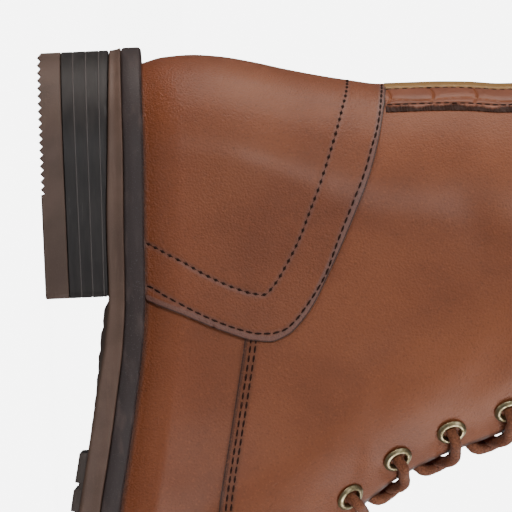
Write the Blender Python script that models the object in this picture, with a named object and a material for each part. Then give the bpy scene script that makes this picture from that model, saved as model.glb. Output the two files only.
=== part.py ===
"""Lace up ankle boot for the right foot, standing on its sole.

While it is built, X runs forward from the back of the heel, Y to the inner side and Z up from the floor.
The last lines move the whole boot so that the middle of its box stands over the origin.
"""

import math

import bmesh
import bpy
import numpy as np
from mathutils import Vector

# Lengths of the sole, in metres
SOLE_LENGTH = 0.305
WELT_THICKNESS = 0.0061
OUTSOLE_THICKNESS = 0.0071
TREAD_THICKNESS = 0.0028
HEEL_LIFT = 0.0173
TOE_SPRING = 0.0125
HEEL_LENGTH = 0.0795
TOP_LIFT_THICKNESS = 0.0075
LAYER_GROOVE = 0.0003
LAYER_SHARE = 0.32
RIB_PITCH = 0.0025
RIB_DEPTH = 0.0011
RIBBED_LENGTH = 0.0455
BAR_PITCH = 0.009
BAR_GROOVE = 0.0026
GROOVE_DEPTH = 0.0013
WELT_REACH = 0.0056
HEEL_INSET = 0.0006
TREAD_INSET = 0.0040
SHANK_CROWN = 0.0018

# Lengths of the last, in metres
BALL_WIDTH = 0.092
HEEL_WIDTH = 0.062
COLLAR_WIDTH = 0.072
INSTEP_HEIGHT = 0.0612
SHAFT_RISE = 0.093

# Walls, overlays and fittings, in metres
WALL = 0.0018
QUARTER_STEP = 0.0009
COUNTER_THICKNESS = 0.0011
STRIP_THICKNESS = 0.0010
STRIP_WIDTH = 0.0070
INSOLE_THICKNESS = 0.0035
TONGUE_THICKNESS = 0.0016
TONGUE_GAP = 0.0009
TONGUE_WIDTH = 0.050
TONGUE_STAND = 0.008
TONGUE_TAPER = 0.75
THROAT_GAP_LOW = 0.0165
THROAT_GAP_HIGH = 0.021
EYELET_PAIRS = 6
EYELET_PITCH = 0.0201
EYELET_INSET = 0.0118
TOP_EYELET_DROP = 0.0155
EYELET_DIAMETER = 0.0098
EYELET_BORE = 0.0056
EYELET_WALL = 0.0004
EYELET_LIP = 0.0010
EYELET_SIDES = 10
LACE_DIAMETER = 0.0035
LACE_SIDES = 6
CLEARANCE = 0.0003

INSOLE_INSET = 0.0008
SEAM_TUCK = 0.0006
EDGE_ROUND = 0.0004

FOREPART_THICKNESS = WELT_THICKNESS + OUTSOLE_THICKNESS + TREAD_THICKNESS
SHAFT_HEIGHT = INSTEP_HEIGHT + SHAFT_RISE
OVERLAY_REACH = QUARTER_STEP + CLEARANCE + COUNTER_THICKNESS
HEEL_REACH = OVERLAY_REACH - 0.0002
OUTER, INNER = -1, 1


def table(names, *rows):
    """Columns by name. Along is a share of the sole's length, and height a share of the shaft's."""
    return dict(zip(names.split(), np.array(rows, float).T))


# The seat of the foot over the forepart: shares of the heel lift and of the toe spring
RISE = table(
    "along lift spring",
    (0.000, 1.000, 0.000),
    (0.098, 0.988, 0.000),
    (0.190, 0.936, 0.000),
    (0.262, 0.902, 0.000),
    (0.308, 0.832, 0.000),
    (0.370, 0.659, 0.000),
    (0.423, 0.491, 0.000),
    (0.487, 0.272, 0.000),
    (0.557, 0.110, 0.000),
    (0.636, 0.000, 0.000),
    (0.708, 0.000, 0.000),
    (0.787, 0.000, 0.104),
    (0.885, 0.000, 0.416),
    (1.000, 0.000, 1.000),
)

# The outsole's edge, a share of its thickness, and the crown of its underside, a share of the shank's
EDGE = table(
    "along thickness crown",
    (0.000, 0.577, 0.00),
    (0.190, 0.817, 0.00),
    (0.262, 0.780, 0.00),
    (0.272, 0.790, 0.90),
    (0.308, 0.873, 1.00),
    (0.370, 0.972, 0.35),
    (0.423, 1.000, 0.20),
    (0.500, 1.000, 0.00),
    (1.000, 1.000, 0.00),
)

# The last's plan: how far the width is the ball's, each side as a share of it, how far the wall tucks in at
# the feather, the crown's depth and the sideways bend of the middle line as shares of the ball width
PLAN = table(
    "along ball outer inner outer_tuck inner_tuck crown axis",
    (0.000, 0.00, 0.500, 0.492, 0.92, 0.92, 0.522, 0.000),
    (0.197, 0.00, 0.500, 0.484, 0.92, 0.91, 0.522, 0.000),
    (0.295, 0.05, 0.488, 0.449, 0.91, 0.88, 0.530, 0.000),
    (0.377, 0.15, 0.481, 0.414, 0.90, 0.82, 0.538, 0.000),
    (0.459, 0.35, 0.490, 0.407, 0.92, 0.84, 0.543, 0.000),
    (0.525, 0.55, 0.503, 0.433, 0.95, 0.90, 0.540, 0.000),
    (0.590, 0.80, 0.506, 0.465, 0.965, 0.95, 0.522, 0.002),
    (0.656, 0.95, 0.508, 0.492, 0.97, 0.97, 0.490, 0.006),
    (0.721, 1.00, 0.500, 0.500, 0.97, 0.97, 0.455, 0.013),
    (0.787, 1.00, 0.480, 0.476, 0.97, 0.97, 0.418, 0.020),
    (0.852, 1.00, 0.462, 0.455, 0.97, 0.97, 0.465, 0.028),
    (0.918, 1.00, 0.450, 0.450, 0.97, 0.97, 0.560, 0.037),
    (0.984, 1.00, 0.440, 0.450, 0.97, 0.97, 0.650, 0.045),
)

# The shaft's sides and the depth of its round back, as shares of the collar width
SHAFT = table(
    "height outer inner back_round",
    (0.00, 0.430, 0.430, 0.417),
    (0.11, 0.445, 0.440, 0.430),
    (0.28, 0.440, 0.435, 0.480),
    (0.42, 0.450, 0.458, 0.560),
    (0.60, 0.462, 0.465, 0.620),
    (0.80, 0.482, 0.482, 0.640),
    (1.00, 0.500, 0.500, 0.640),
)

# The back line of the last, above the feather
BACK = table(
    "height along",
    (0.000, 0.0242),
    (0.050, 0.0183),
    (0.097, 0.0173),
    (0.157, 0.0200),
    (0.228, 0.0272),
    (0.299, 0.0367),
    (0.370, 0.0452),
    (0.426, 0.0508),
    (0.497, 0.0563),
    (0.600, 0.0570),
    (0.675, 0.0587),
    (0.750, 0.0620),
    (1.000, 0.0630),
)

# The front line from the toe up the instep and the shaft: shares of the instep's height and the shaft's rise
RIDGE = table(
    "along instep shaft",
    (0.9787, 0.000, 0.000),
    (0.9846, 0.090, 0.000),
    (0.9803, 0.225, 0.000),
    (0.9623, 0.368, 0.000),
    (0.9311, 0.484, 0.000),
    (0.8852, 0.585, 0.000),
    (0.8197, 0.688, 0.000),
    (0.7541, 0.784, 0.000),
    (0.6951, 0.882, 0.000),
    (0.6426, 0.969, 0.000),
    (0.6230, 1.000, 0.003),
    (0.5770, 1.000, 0.058),
    (0.5344, 1.000, 0.117),
    (0.5000, 1.000, 0.173),
    (0.4852, 1.000, 0.226),
    (0.4672, 1.000, 0.305),
    (0.4475, 1.000, 0.437),
    (0.4344, 1.000, 0.556),
    (0.4164, 1.000, 0.741),
    (0.3990, 1.000, 1.000),
    (0.3770, 1.000, 1.440),
    (0.3440, 1.000, 2.030),
)

# Fan lines of the wall: from a height on the front line to a place on the base line, which runs from the
# toe (0) along the feather to the heel (1) and up the back to the collar (2). Steps counts the wall's rows.
FAN = table(
    "front base steps",
    (0.000, 0.000, 0),
    (0.025, 0.0012, 1),
    (0.050, 0.0050, 1),
    (0.070, 0.012, 1),
    (0.090, 0.022, 1),
    (0.146, 0.046, 2),
    (0.232, 0.126, 3),
    (0.311, 0.253, 3),
    (0.385, 0.373, 2),
    (0.412, 0.420, 1),
    (0.414, 0.424, 1),
    (0.419, 0.435, 1),
    (0.428, 0.457, 1),
    (0.440, 0.490, 1),
    (0.496, 0.632, 3),
    (0.577, 0.820, 3),
    (0.616, 0.924, 2),
    (0.629, 0.955, 1),
    (0.640, 0.977, 1),
    (0.650, 0.992, 1),
    (0.658, 1.000, 1),
    (0.707, 1.122, 2),
    (0.755, 1.340, 2),
    (0.837, 1.560, 2),
    (0.914, 1.780, 2),
    (1.000, 2.000, 2),
)
WALL_COLUMNS = 12

# Shares of the shaft's height: the throat's lower end and how fast it opens, the place where the quarter's
# edge meets the throat, the collar's height at the back, and the foot of the back strip
THROAT_START = 0.412
THROAT_ROUND = 0.028
VAMP_END = 0.577
COLLAR_BACK = 0.90
STRIP_FOOT = 0.505
STRIP_HEAD_DROP = 0.012

# Shares of the sole's length: where the tread starts, and the smooth bar on which it stands
TREAD_START = 0.423
BAR_START, BAR_END = 0.630, 0.714

# The lower edge of the quarter, forward from under the counter and up to the throat
QUARTER_EDGE = table(
    "along height",
    (0.288, 0.212),
    (0.350, 0.208),
    (0.440, 0.204),
    (0.500, 0.204),
    (0.540, 0.213),
    (0.570, 0.240),
    (0.586, 0.290),
    (0.588, 0.345),
    (0.582, 0.410),
    (0.577, 0.520),
)

# The counter's edge, up from the feather and back to the back seam
COUNTER_EDGE = table(
    "along height",
    (0.257, -0.040),
    (0.276, 0.048),
    (0.301, 0.158),
    (0.313, 0.226),
    (0.3155, 0.264),
    (0.309, 0.300),
    (0.289, 0.337),
    (0.243, 0.385),
    (0.193, 0.431),
    (0.140, 0.472),
    (0.092, 0.496),
    (0.052, 0.509),
    (-0.060, 0.515),
)


def curve(keys, values, at):
    """A smooth curve through a table's rows that never overshoots them, flat beyond its ends."""
    at = np.clip(at, keys[0], keys[-1])
    widths = np.diff(keys)
    slopes = np.diff(values) / widths
    before, after = slopes[:-1], slopes[1:]
    even = before * after > 0
    mean = np.where(even, 2 * before * after / np.where(even, before + after, 1), 0)
    tangents = np.concatenate([slopes[:1], mean, slopes[-1:]])
    i = np.clip(np.searchsorted(keys, at, side="right") - 1, 0, len(widths) - 1)
    t = (at - keys[i]) / widths[i]
    rise = values[i + 1] - values[i]
    first, last = tangents[i] * widths[i], tangents[i + 1] * widths[i]
    return values[i] + t * (first + t * (3 * rise - 2 * first - last + t * (first + last - 2 * rise)))


def smoothstep(t):
    t = np.clip(t, 0, 1)
    return t * t * (3 - 2 * t)


def feather(x):
    """Height of the seat, where upper and welt meet."""
    along = x / SOLE_LENGTH
    lift = curve(RISE["along"], RISE["lift"], along) * HEEL_LIFT
    return FOREPART_THICKNESS + lift + curve(RISE["along"], RISE["spring"], along) * TOE_SPRING


RIDGE_X = RIDGE["along"] * SOLE_LENGTH
RIDGE_HEIGHT = RIDGE["instep"] * INSTEP_HEIGHT + RIDGE["shaft"] * SHAFT_RISE


def ridge_x(height):
    return curve(RIDGE_HEIGHT, RIDGE_X, height)


def ridge_height(x):
    """The front line's height over the feather, on its upper side from the tip of the toe on."""
    heights = np.linspace(0, RIDGE_HEIGHT[-1], 3001)
    places = ridge_x(heights)
    tip = int(np.argmax(places))
    return np.interp(x, places[:tip:-1], heights[:tip:-1])


def back_x(height):
    return curve(BACK["height"], BACK["along"], height / SHAFT_HEIGHT) * SOLE_LENGTH


def axis(x):
    return curve(PLAN["along"], PLAN["axis"], x / SOLE_LENGTH) * BALL_WIDTH


def full_width(x, height, side):
    """Distance from the middle line to the flat of the wall, before its front and back close in."""
    name = "outer" if side == OUTER else "inner"
    along = x / SOLE_LENGTH
    local = HEEL_WIDTH + (BALL_WIDTH - HEEL_WIDTH) * curve(PLAN["along"], PLAN["ball"], along)
    tuck = curve(PLAN["along"], PLAN[name + "_tuck"], along)
    tuck = tuck + (1 - tuck) * smoothstep(height / (0.2 * INSTEP_HEIGHT))
    foot = local * curve(PLAN["along"], PLAN[name], along) * tuck
    shaft = COLLAR_WIDTH * curve(SHAFT["height"], SHAFT[name], height / SHAFT_HEIGHT)
    blend = smoothstep((height / INSTEP_HEIGHT - 0.13) / 1.02)
    return foot + (shaft - foot) * blend


def closing(x, height):
    """One on the flat of the wall, and falling to zero on the front line and on the back line."""
    ahead = ridge_x(height) - x
    above = ridge_height(x) - height
    outside = np.where(np.minimum(ahead, above) < 0, -1, 1)
    depth = outside * np.abs(ahead * above) / np.hypot(ahead, above + 1e-9)
    front = depth / (BALL_WIDTH * curve(PLAN["along"], PLAN["crown"], x / SOLE_LENGTH))
    back_round = COLLAR_WIDTH * curve(SHAFT["height"], SHAFT["back_round"], height / SHAFT_HEIGHT)
    back = (x - back_x(height)) / back_round
    return (1 - (1 - np.minimum(front, 1)) ** 2) * (1 - (1 - np.minimum(back, 1)) ** 2)


def half_width(x, height, side):
    return full_width(x, height, side) * np.sqrt(np.maximum(closing(x, height), 0))


def level(x, y, z, side):
    """Negative inside the last, zero on it and positive outside."""
    height = z - feather(x)
    return ((y - axis(x)) / full_width(x, height, side)) ** 2 - closing(x, height)


def slope(points, side):
    """How fast the level grows along each axis."""
    step = 2e-5
    slopes = np.empty_like(points)
    for i in range(3):
        shift = np.zeros(3)
        shift[i] = step
        ahead, behind = points + shift, points - shift
        slopes[..., i] = level(*np.moveaxis(ahead, -1, 0), side) - level(*np.moveaxis(behind, -1, 0), side)
    return slopes / (2 * step)


def offset(points, side, distance):
    """Points moved out from the last along its normal, and in where the distance is negative."""
    slopes = slope(points, side)
    return points + slopes / np.linalg.norm(slopes, axis=-1, keepdims=True) * distance


def rise_around(centre, normal, side, radius):
    """How far the last rises over its tangent plane on a circle around a point."""
    across = np.cross(normal, (0, 0, 1))
    across /= np.linalg.norm(across)
    along = np.cross(normal, across)
    angle = np.linspace(0, 2 * math.pi, 16, endpoint=False)[:, None]
    circle = centre + radius * (np.cos(angle) * across + np.sin(angle) * along)
    reach = level(*np.moveaxis(circle, -1, 0), side) / np.linalg.norm(slope(circle, side), axis=-1)
    return max(0.0, float(-reach.min()))


def fan_line(front):
    """Side-view ends, as x and height, of the fan line at this height on the front line."""
    front = np.asarray(front, float)
    base = np.interp(front, FAN["front"], FAN["base"])
    toe_x, heel_x = RIDGE_X[0], BACK["along"][0] * SOLE_LENGTH
    on_sole = base <= 1
    climb = np.clip(base - 1, 0, 1) * COLLAR_BACK * SHAFT_HEIGHT
    base_x = np.where(on_sole, toe_x + (heel_x - toe_x) * np.minimum(base, 1), back_x(climb))
    top_height = front * SHAFT_HEIGHT
    return ridge_x(top_height), top_height, base_x, climb


def along_line(front, side, reach):
    """Share of each fan line at which the last is this far from its middle line."""
    top_x, top_height, base_x, base_height = fan_line(front)
    low, high = np.zeros_like(top_x + reach), np.full_like(top_x + reach, 0.5)
    for _ in range(40):
        middle = (low + high) / 2
        x = top_x + (base_x - top_x) * middle
        height = top_height + (base_height - top_height) * middle
        near = half_width(x, height, side) < reach
        low, high = np.where(near, middle, low), np.where(near, high, middle)
    return high


def on_last(front, side, share):
    """Points of the last at these shares of the fan lines."""
    top_x, top_height, base_x, base_height = fan_line(front)
    x = top_x + (base_x - top_x) * share
    height = top_height + (base_height - top_height) * share
    return np.stack([x, axis(x) + side * half_width(x, height, side), feather(x) + height], axis=-1)


def throat_gap(front):
    """Half the gap between the facings, round at its lower end."""
    climb = np.clip((front - THROAT_START) / (1 - THROAT_START), 0, 1)
    entry = np.clip((front - THROAT_START) / THROAT_ROUND, 0, 1)
    wide = THROAT_GAP_LOW + (THROAT_GAP_HIGH - THROAT_GAP_LOW) * climb
    return wide / 2 * np.sqrt(1 - (1 - entry) ** 2)


def fan_rows(first=0.0, last=1.0):
    """Front heights of the wall's rows between two fan lines."""
    rows = [FAN["front"][0]]
    for i in range(1, len(FAN["front"])):
        steps = int(FAN["steps"][i])
        rows.extend(np.linspace(FAN["front"][i - 1], FAN["front"][i], steps + 1)[1:])
    return np.array([row for row in rows if first - 1e-9 <= row <= last + 1e-9])


def new_object(name, mesh_data, material=None):
    mesh = bpy.data.meshes.new(name)
    mesh_data.to_mesh(mesh)
    mesh_data.free()
    thing = bpy.data.objects.new(name, mesh)
    bpy.context.scene.collection.objects.link(thing)
    if material:
        mesh.materials.append(material)
    return thing


def closed_mesh(faces):
    """A closed mesh from faces given as corner points, with coincident corners made one."""
    bm = bmesh.new()
    for corners in faces:
        bm.faces.new([bm.verts.new(Vector(corner)) for corner in corners])
    bmesh.ops.remove_doubles(bm, verts=bm.verts, dist=2e-6)
    bmesh.ops.dissolve_degenerate(bm, dist=1e-7, edges=bm.edges)
    bmesh.ops.recalc_face_normals(bm, faces=bm.faces)
    if bm.calc_volume(signed=True) < 0:
        bmesh.ops.reverse_faces(bm, faces=bm.faces)
    return bm


def patch(grid):
    """The quads of a grid of points."""
    quads = []
    for row, above in zip(grid[:-1], grid[1:]):
        for i in range(len(row) - 1):
            quads.append((row[i], row[i + 1], above[i + 1], above[i]))
    return quads


def shell(rows, inside, outside, open_throat=True, drop=0.0):
    """The closed wall between two offsets of the last, over rows of the fan, dropped past the feather."""
    gap = throat_gap(rows) if open_throat else np.zeros_like(rows)
    share = (1 - np.cos(np.linspace(0, math.pi, WALL_COLUMNS + 1))) / 2
    faces = []
    for side in (OUTER, INNER):
        start = np.where(gap > 0, along_line(rows, side, gap), 0)[:, None]
        points = on_last(rows[:, None], side, start + (1 - start) * share)
        inner, outer = offset(points, side, inside), offset(points, side, outside)
        if drop:
            down = (0, 0, drop)
            inner = np.concatenate([inner, inner[:, -1:] - down], axis=1)
            outer = np.concatenate([outer, outer[:, -1:] - down], axis=1)
        else:
            for skin in (inner, outer):
                skin[..., 2] = np.maximum(skin[..., 2], feather(skin[..., 0]) + CLEARANCE)
        faces += patch(inner) + patch(outer)
        base = np.interp(rows, FAN["front"], FAN["base"])
        for i in range(len(rows) - 1):
            if gap[i + 1] > 0:
                faces += patch([[inner[i, 0], inner[i + 1, 0]], [outer[i, 0], outer[i + 1, 0]]])
            if base[i + 1] <= 1 + 1e-9:
                faces += patch([[inner[i, -1], inner[i + 1, -1]], [outer[i, -1], outer[i + 1, -1]]])
        if rows[0] > 0:
            faces += patch([inner[0], outer[0]])
        faces += patch([inner[-1], outer[-1]])
    return closed_mesh(faces)


def boolean(thing, other, operation):
    modifier = thing.modifiers.new(operation.title(), "BOOLEAN")
    modifier.operation = operation
    modifier.object = other
    modifier.solver = "EXACT"


def helper(thing):
    thing.hide_render = True
    thing.display_type = "WIRE"
    return thing


def side_prism(name, outline):
    """A block through the whole boot, cut to an outline given in the side view as x and z."""
    reach = BALL_WIDTH
    ends = [[(x, y, z) for x, z in outline] for y in (-reach, reach)]
    faces = [list(reversed(ends[0])), ends[1]]
    for i in range(len(outline)):
        j = (i + 1) % len(outline)
        faces.append((ends[0][i], ends[0][j], ends[1][j], ends[1][i]))
    return helper(new_object(name, closed_mesh(faces)))


def edge_points(edge, count):
    """Points of an overlay's edge in the side view, evenly spread over the rows of its table."""
    rows = np.arange(len(edge["along"]), dtype=float)
    at = np.linspace(0, len(rows) - 1, count)
    x = curve(rows, edge["along"], at) * SOLE_LENGTH
    height = curve(rows, edge["height"], at) * SHAFT_HEIGHT
    return list(zip(x, feather(x) + height))


def material(name, colour, roughness, metallic=0.0):
    made = bpy.data.materials.new(name)
    made.use_nodes = True
    shader = made.node_tree.nodes["Principled BSDF"]
    shader.inputs["Base Color"].default_value = (*colour, 1)
    shader.inputs["Roughness"].default_value = roughness
    shader.inputs["Metallic"].default_value = metallic
    return made


def smooth_shading(thing, degrees=40):
    thing.data.shade_smooth()
    thing.data.set_sharp_from_angle(angle=math.radians(degrees))
    return thing


def heel_share(x):
    return 1 - smoothstep((x / SOLE_LENGTH - 0.20) / 0.16)


def sole_outline(reach, heel_reach=0.0):
    """Outer and inner edge, as x and y, of the feather line moved out by reach, and more at the heel."""
    toe_x, heel_x = RIDGE_X[0], BACK["along"][0] * SOLE_LENGTH
    x = heel_x + (toe_x - heel_x) * (1 - np.cos(np.linspace(0, math.pi, 161))) / 2
    sides = []
    for side in (OUTER, INNER):
        y = axis(x) + side * half_width(x, np.zeros_like(x), side)
        along = np.gradient(np.stack([x, y], axis=-1), axis=0)
        normal = np.stack([-along[:, 1], along[:, 0]], axis=-1) * side
        normal[0], normal[-1] = (-1, 0), (1, 0)
        normal /= np.linalg.norm(normal, axis=-1, keepdims=True)
        amount = reach + heel_reach * heel_share(x)
        sides.append(np.stack([x, y], axis=-1) + normal * amount[:, None])
    return sides


def outline_at(outline, x):
    return [np.interp(x, edge[:, 0], edge[:, 1]) for edge in outline]


def stations(outline, count, first=None, last=None, extra=()):
    """Places along the sole, closer together at a round end, with any extra ones."""
    low, high = outline[0][0, 0], outline[0][-1, 0]
    round_back, round_front = first is None, last is None
    first = low + 2e-4 if round_back else first
    last = high - 2e-4 if round_front else last
    t = np.linspace(0, 1, count)
    if round_back and round_front:
        t = (1 - np.cos(math.pi * t)) / 2
    elif round_back:
        t = 1 - np.cos(math.pi / 2 * t)
    elif round_front:
        t = np.sin(math.pi / 2 * t)
    return np.sort([*(first + (last - first) * t), *extra])


def layer(rings, under_crown=0.0):
    """A closed slab of the sole. Each ring, from the bottom up, is (outline, places, height function)."""
    across = np.linspace(0, 1, 5 if under_crown else 2)
    grids = []
    for i, (outline, places, height) in enumerate(rings):
        outer, inner = outline_at(outline, places)
        crown = curve(EDGE["along"], EDGE["crown"], places / SOLE_LENGTH) * (under_crown if i == 0 else 0)
        columns = []
        for share in across:
            z = height(places) - crown * 4 * share * (1 - share)
            columns.append(np.stack([places, outer + (inner - outer) * share, z], axis=-1))
        grids.append(np.array(columns))
    faces = patch(grids[0]) + patch(grids[-1])
    for low, high in zip(grids[:-1], grids[1:]):
        for below, above in (
            (low[0], high[0]),
            (low[-1], high[-1]),
            (low[:, 0], high[:, 0]),
            (low[:, -1], high[:, -1]),
        ):
            faces += patch([below, above])
    return closed_mesh(faces)


def outsole_top(x):
    return feather(x) - WELT_THICKNESS - CLEARANCE


def outsole_bottom(x):
    share = curve(EDGE["along"], EDGE["thickness"], x / SOLE_LENGTH)
    return feather(x) - WELT_THICKNESS - share * OUTSOLE_THICKNESS


def flat(height):
    return lambda x: np.full_like(x, height)


def add_welt():
    leather = material("black welt", (0.045, 0.036, 0.037), 0.55)
    rings = []
    for reach, drop in ((-EDGE_ROUND, 1.0), (0.0, 0.88), (0.0, 0.1), (-EDGE_ROUND, 0.0)):
        outline = sole_outline(WELT_REACH + reach, HEEL_REACH)
        places = stations(outline, 33)
        rings.append((outline, places, lambda x, drop=drop: feather(x) - WELT_THICKNESS * drop))
    return smooth_shading(new_object("welt", layer(rings), leather), 30)


def add_outsole():
    rubber = material("brown sole", (0.10, 0.073, 0.06), 0.5)
    rings = []
    profile = ((1.0, EDGE_ROUND, 1.0), (0.85, 0.0, 1.0), (0.35, 0.0, 0.7), (0.0, 0.0, 0.1))
    for share, inset, cove in profile:
        outline = sole_outline(WELT_REACH - inset, HEEL_REACH - HEEL_INSET * cove)
        rings.append(
            (
                outline,
                stations(outline, 31, extra=(HEEL_LENGTH + 0.0005, HEEL_LENGTH + 0.0035)),
                lambda x, share=share: outsole_top(x) + (outsole_bottom(x) - outsole_top(x)) * share,
            )
        )
    outsole = smooth_shading(new_object("outsole", layer(rings, SHANK_CROWN), rubber), 30)
    boolean(outsole, add_tread(), "UNION")
    return outsole


def add_tread():
    """The raised pad of the forepart, with grooves across it and a smooth bar where it stands."""
    outline = sole_outline(WELT_REACH - TREAD_INSET)
    start, flat_start, flat_end = (share * SOLE_LENGTH for share in (TREAD_START, BAR_START, BAR_END))
    toe = outline[0][-1, 0]
    places, depths = [start, start + BAR_PITCH / 2], [0, 0]
    edges = [(start + BAR_PITCH / 2, flat_start - BAR_GROOVE), (flat_end, toe - BAR_PITCH)]
    for low, high in edges:
        count = int((high - low) / BAR_PITCH)
        for i in range(count):
            x = low + BAR_PITCH * (i + 0.5)
            places += [x, x + 0.15 * BAR_GROOVE, x + 0.85 * BAR_GROOVE, x + BAR_GROOVE]
            depths += [0, GROOVE_DEPTH, GROOVE_DEPTH, 0]
        if low < flat_start:
            places += [flat_start + BAR_GROOVE, flat_end - BAR_GROOVE]
            depths += [0, 0]
    last = places[-1]
    tip = toe - 2e-4
    nose = last + (tip - last) * np.sin(math.pi / 2 * np.linspace(0, 1, 9))[1:]
    places, depths = np.array([*places, *nose]), np.array([*depths, *np.zeros(8)])

    def top(x):
        return outsole_bottom(x) + OUTSOLE_THICKNESS / 3

    def bottom(x):
        return outsole_bottom(x) - TREAD_THICKNESS + depths

    return helper(new_object("tread form", layer([(outline, places, bottom), (outline, places, top)])))


def add_heel_stack():
    leather = material("black heel stack", (0.035, 0.029, 0.03), 0.4)
    outline = sole_outline(WELT_REACH, HEEL_REACH - HEEL_INSET)
    grooved = sole_outline(WELT_REACH - LAYER_GROOVE, HEEL_REACH - HEEL_INSET)
    low = TOP_LIFT_THICKNESS + CLEARANCE
    head = float(outsole_bottom(np.array([HEEL_LENGTH]))[0]) - CLEARANCE - low
    rings = [(outline, stations(outline, 16, last=HEEL_LENGTH), flat(low))]
    for k in (1, 2, 3):
        middle = low + head * LAYER_SHARE * k
        for outer, rise in ((outline, -LAYER_GROOVE), (grooved, 0.0), (outline, LAYER_GROOVE)):
            rings.append((outer, stations(outer, 16, last=HEEL_LENGTH), flat(middle + rise)))
    rings.append((outline, stations(outline, 16, last=HEEL_LENGTH), lambda x: outsole_bottom(x) - CLEARANCE))
    return smooth_shading(new_object("heel_stack", layer(rings), leather), 30)


def add_top_lift():
    """The rubber lift that stands on the floor, with a sawtooth tread over its back half."""
    rubber = material("brown heel lift", (0.105, 0.078, 0.066), 0.55)
    outline = sole_outline(WELT_REACH, HEEL_REACH - HEEL_INSET)
    inset = sole_outline(WELT_REACH - EDGE_ROUND, HEEL_REACH - HEEL_INSET)
    low = inset[0][0, 0] + 2e-4
    end = HEEL_LENGTH - EDGE_ROUND
    teeth = int(RIBBED_LENGTH / RIB_PITCH)
    places, depths = [low], [RIB_DEPTH]
    for i in range(teeth):
        x = low + RIB_PITCH * (i + 0.4)
        places += [x, x + 0.12 * RIB_PITCH, x + 0.6 * RIB_PITCH]
        depths += [0.0, 0.0, RIB_DEPTH]
    places += [low + RIB_PITCH * (teeth + 0.4), (low + RIB_PITCH * teeth + end) / 2, end]
    depths += [0.0, 0.0, 0.0]
    places, depths = np.array(places), np.array(depths)
    stretch = (HEEL_LENGTH - low + EDGE_ROUND) / (end - low)
    wide = low - EDGE_ROUND + (places - low) * stretch
    rings = [
        (inset, places, lambda x: depths),
        (outline, wide, lambda x: depths * 0.6 + 0.0007),
        (outline, wide, flat(TOP_LIFT_THICKNESS)),
    ]
    return smooth_shading(new_object("top_lift", layer(rings), rubber), 30)


def add_insole():
    leather = material("tan insole", (0.42, 0.24, 0.13), 0.6)
    outline = sole_outline(-WALL - INSOLE_INSET)
    rings = []
    for rise in (0.0, INSOLE_THICKNESS):
        rings.append((outline, stations(outline, 29), lambda x, rise=rise: feather(x) + CLEARANCE + rise))
    return smooth_shading(new_object("insole", layer(rings), leather), 30)


def eyelet_seats():
    """Pair, side, front height, centre on the last, normal and seat over it, from the lowest pair up."""
    front = np.linspace(1.0, THROAT_START + THROAT_ROUND, 400)
    seats = []
    for side in (OUTER, INNER):
        start = along_line(front, side, throat_gap(front))
        share, walked = start.copy(), np.zeros_like(start)
        last = on_last(front, side, share)
        while (walked < EYELET_INSET).any():
            step = np.where(walked < EYELET_INSET, 0.001, 0)
            share = share + step
            here = on_last(front, side, share)
            walked += np.linalg.norm(here - last, axis=-1)
            last = here
        run = np.concatenate([[0], np.cumsum(np.linalg.norm(np.diff(last, axis=0), axis=-1))])
        for pair in range(EYELET_PAIRS):
            at = TOP_EYELET_DROP + EYELET_PITCH * (EYELET_PAIRS - 1 - pair)
            height = np.interp(at, run, front)
            centre = np.array([np.interp(at, run, last[:, i]) for i in range(3)])
            normal = offset(centre[None], side, 1.0)[0] - centre
            rise = rise_around(centre, normal, side, EYELET_DIAMETER / 2)
            seats.append((pair + 1, side, height, centre, normal, QUARTER_STEP + CLEARANCE + rise))
    return seats


def turned(name, profile, centre, normal, segments, finish):
    """A ring turned about the normal, from a closed profile of (radius, height) pairs."""
    quads = []
    turn = Vector((0, 0, 1)).rotation_difference(Vector(normal))
    points = []
    for i in range(segments):
        angle = 2 * math.pi * i / segments
        spin = [(r * math.cos(angle), r * math.sin(angle), z) for r, z in profile]
        points.append([turn @ Vector(point) + Vector(centre) for point in spin])
    for i in range(segments):
        ring, following = points[i], points[(i + 1) % segments]
        for j in range(len(profile)):
            k = (j + 1) % len(profile)
            quads.append((ring[j], following[j], following[k], ring[k]))
    return smooth_shading(new_object(name, closed_mesh(quads), finish), 50)


def add_eyelets(seats):
    brass = material("aged brass", (0.36, 0.31, 0.20), 0.38, 0.9)
    bore, rim = EYELET_BORE / 2, EYELET_DIAMETER / 2
    barrel = bore + EYELET_WALL
    for pair, side, _, centre, normal, seat in seats:
        profile = [
            (bore, -WALL),
            (barrel, -WALL),
            (barrel, seat),
            (rim, seat),
            ((rim + bore) / 2, seat + EYELET_LIP),
            (bore, seat + 0.5 * EYELET_LIP),
        ]
        name = f"eyelet_{pair}_{'outer' if side == OUTER else 'inner'}"
        turned(name, profile, centre, normal, EYELET_SIDES, brass)


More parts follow.
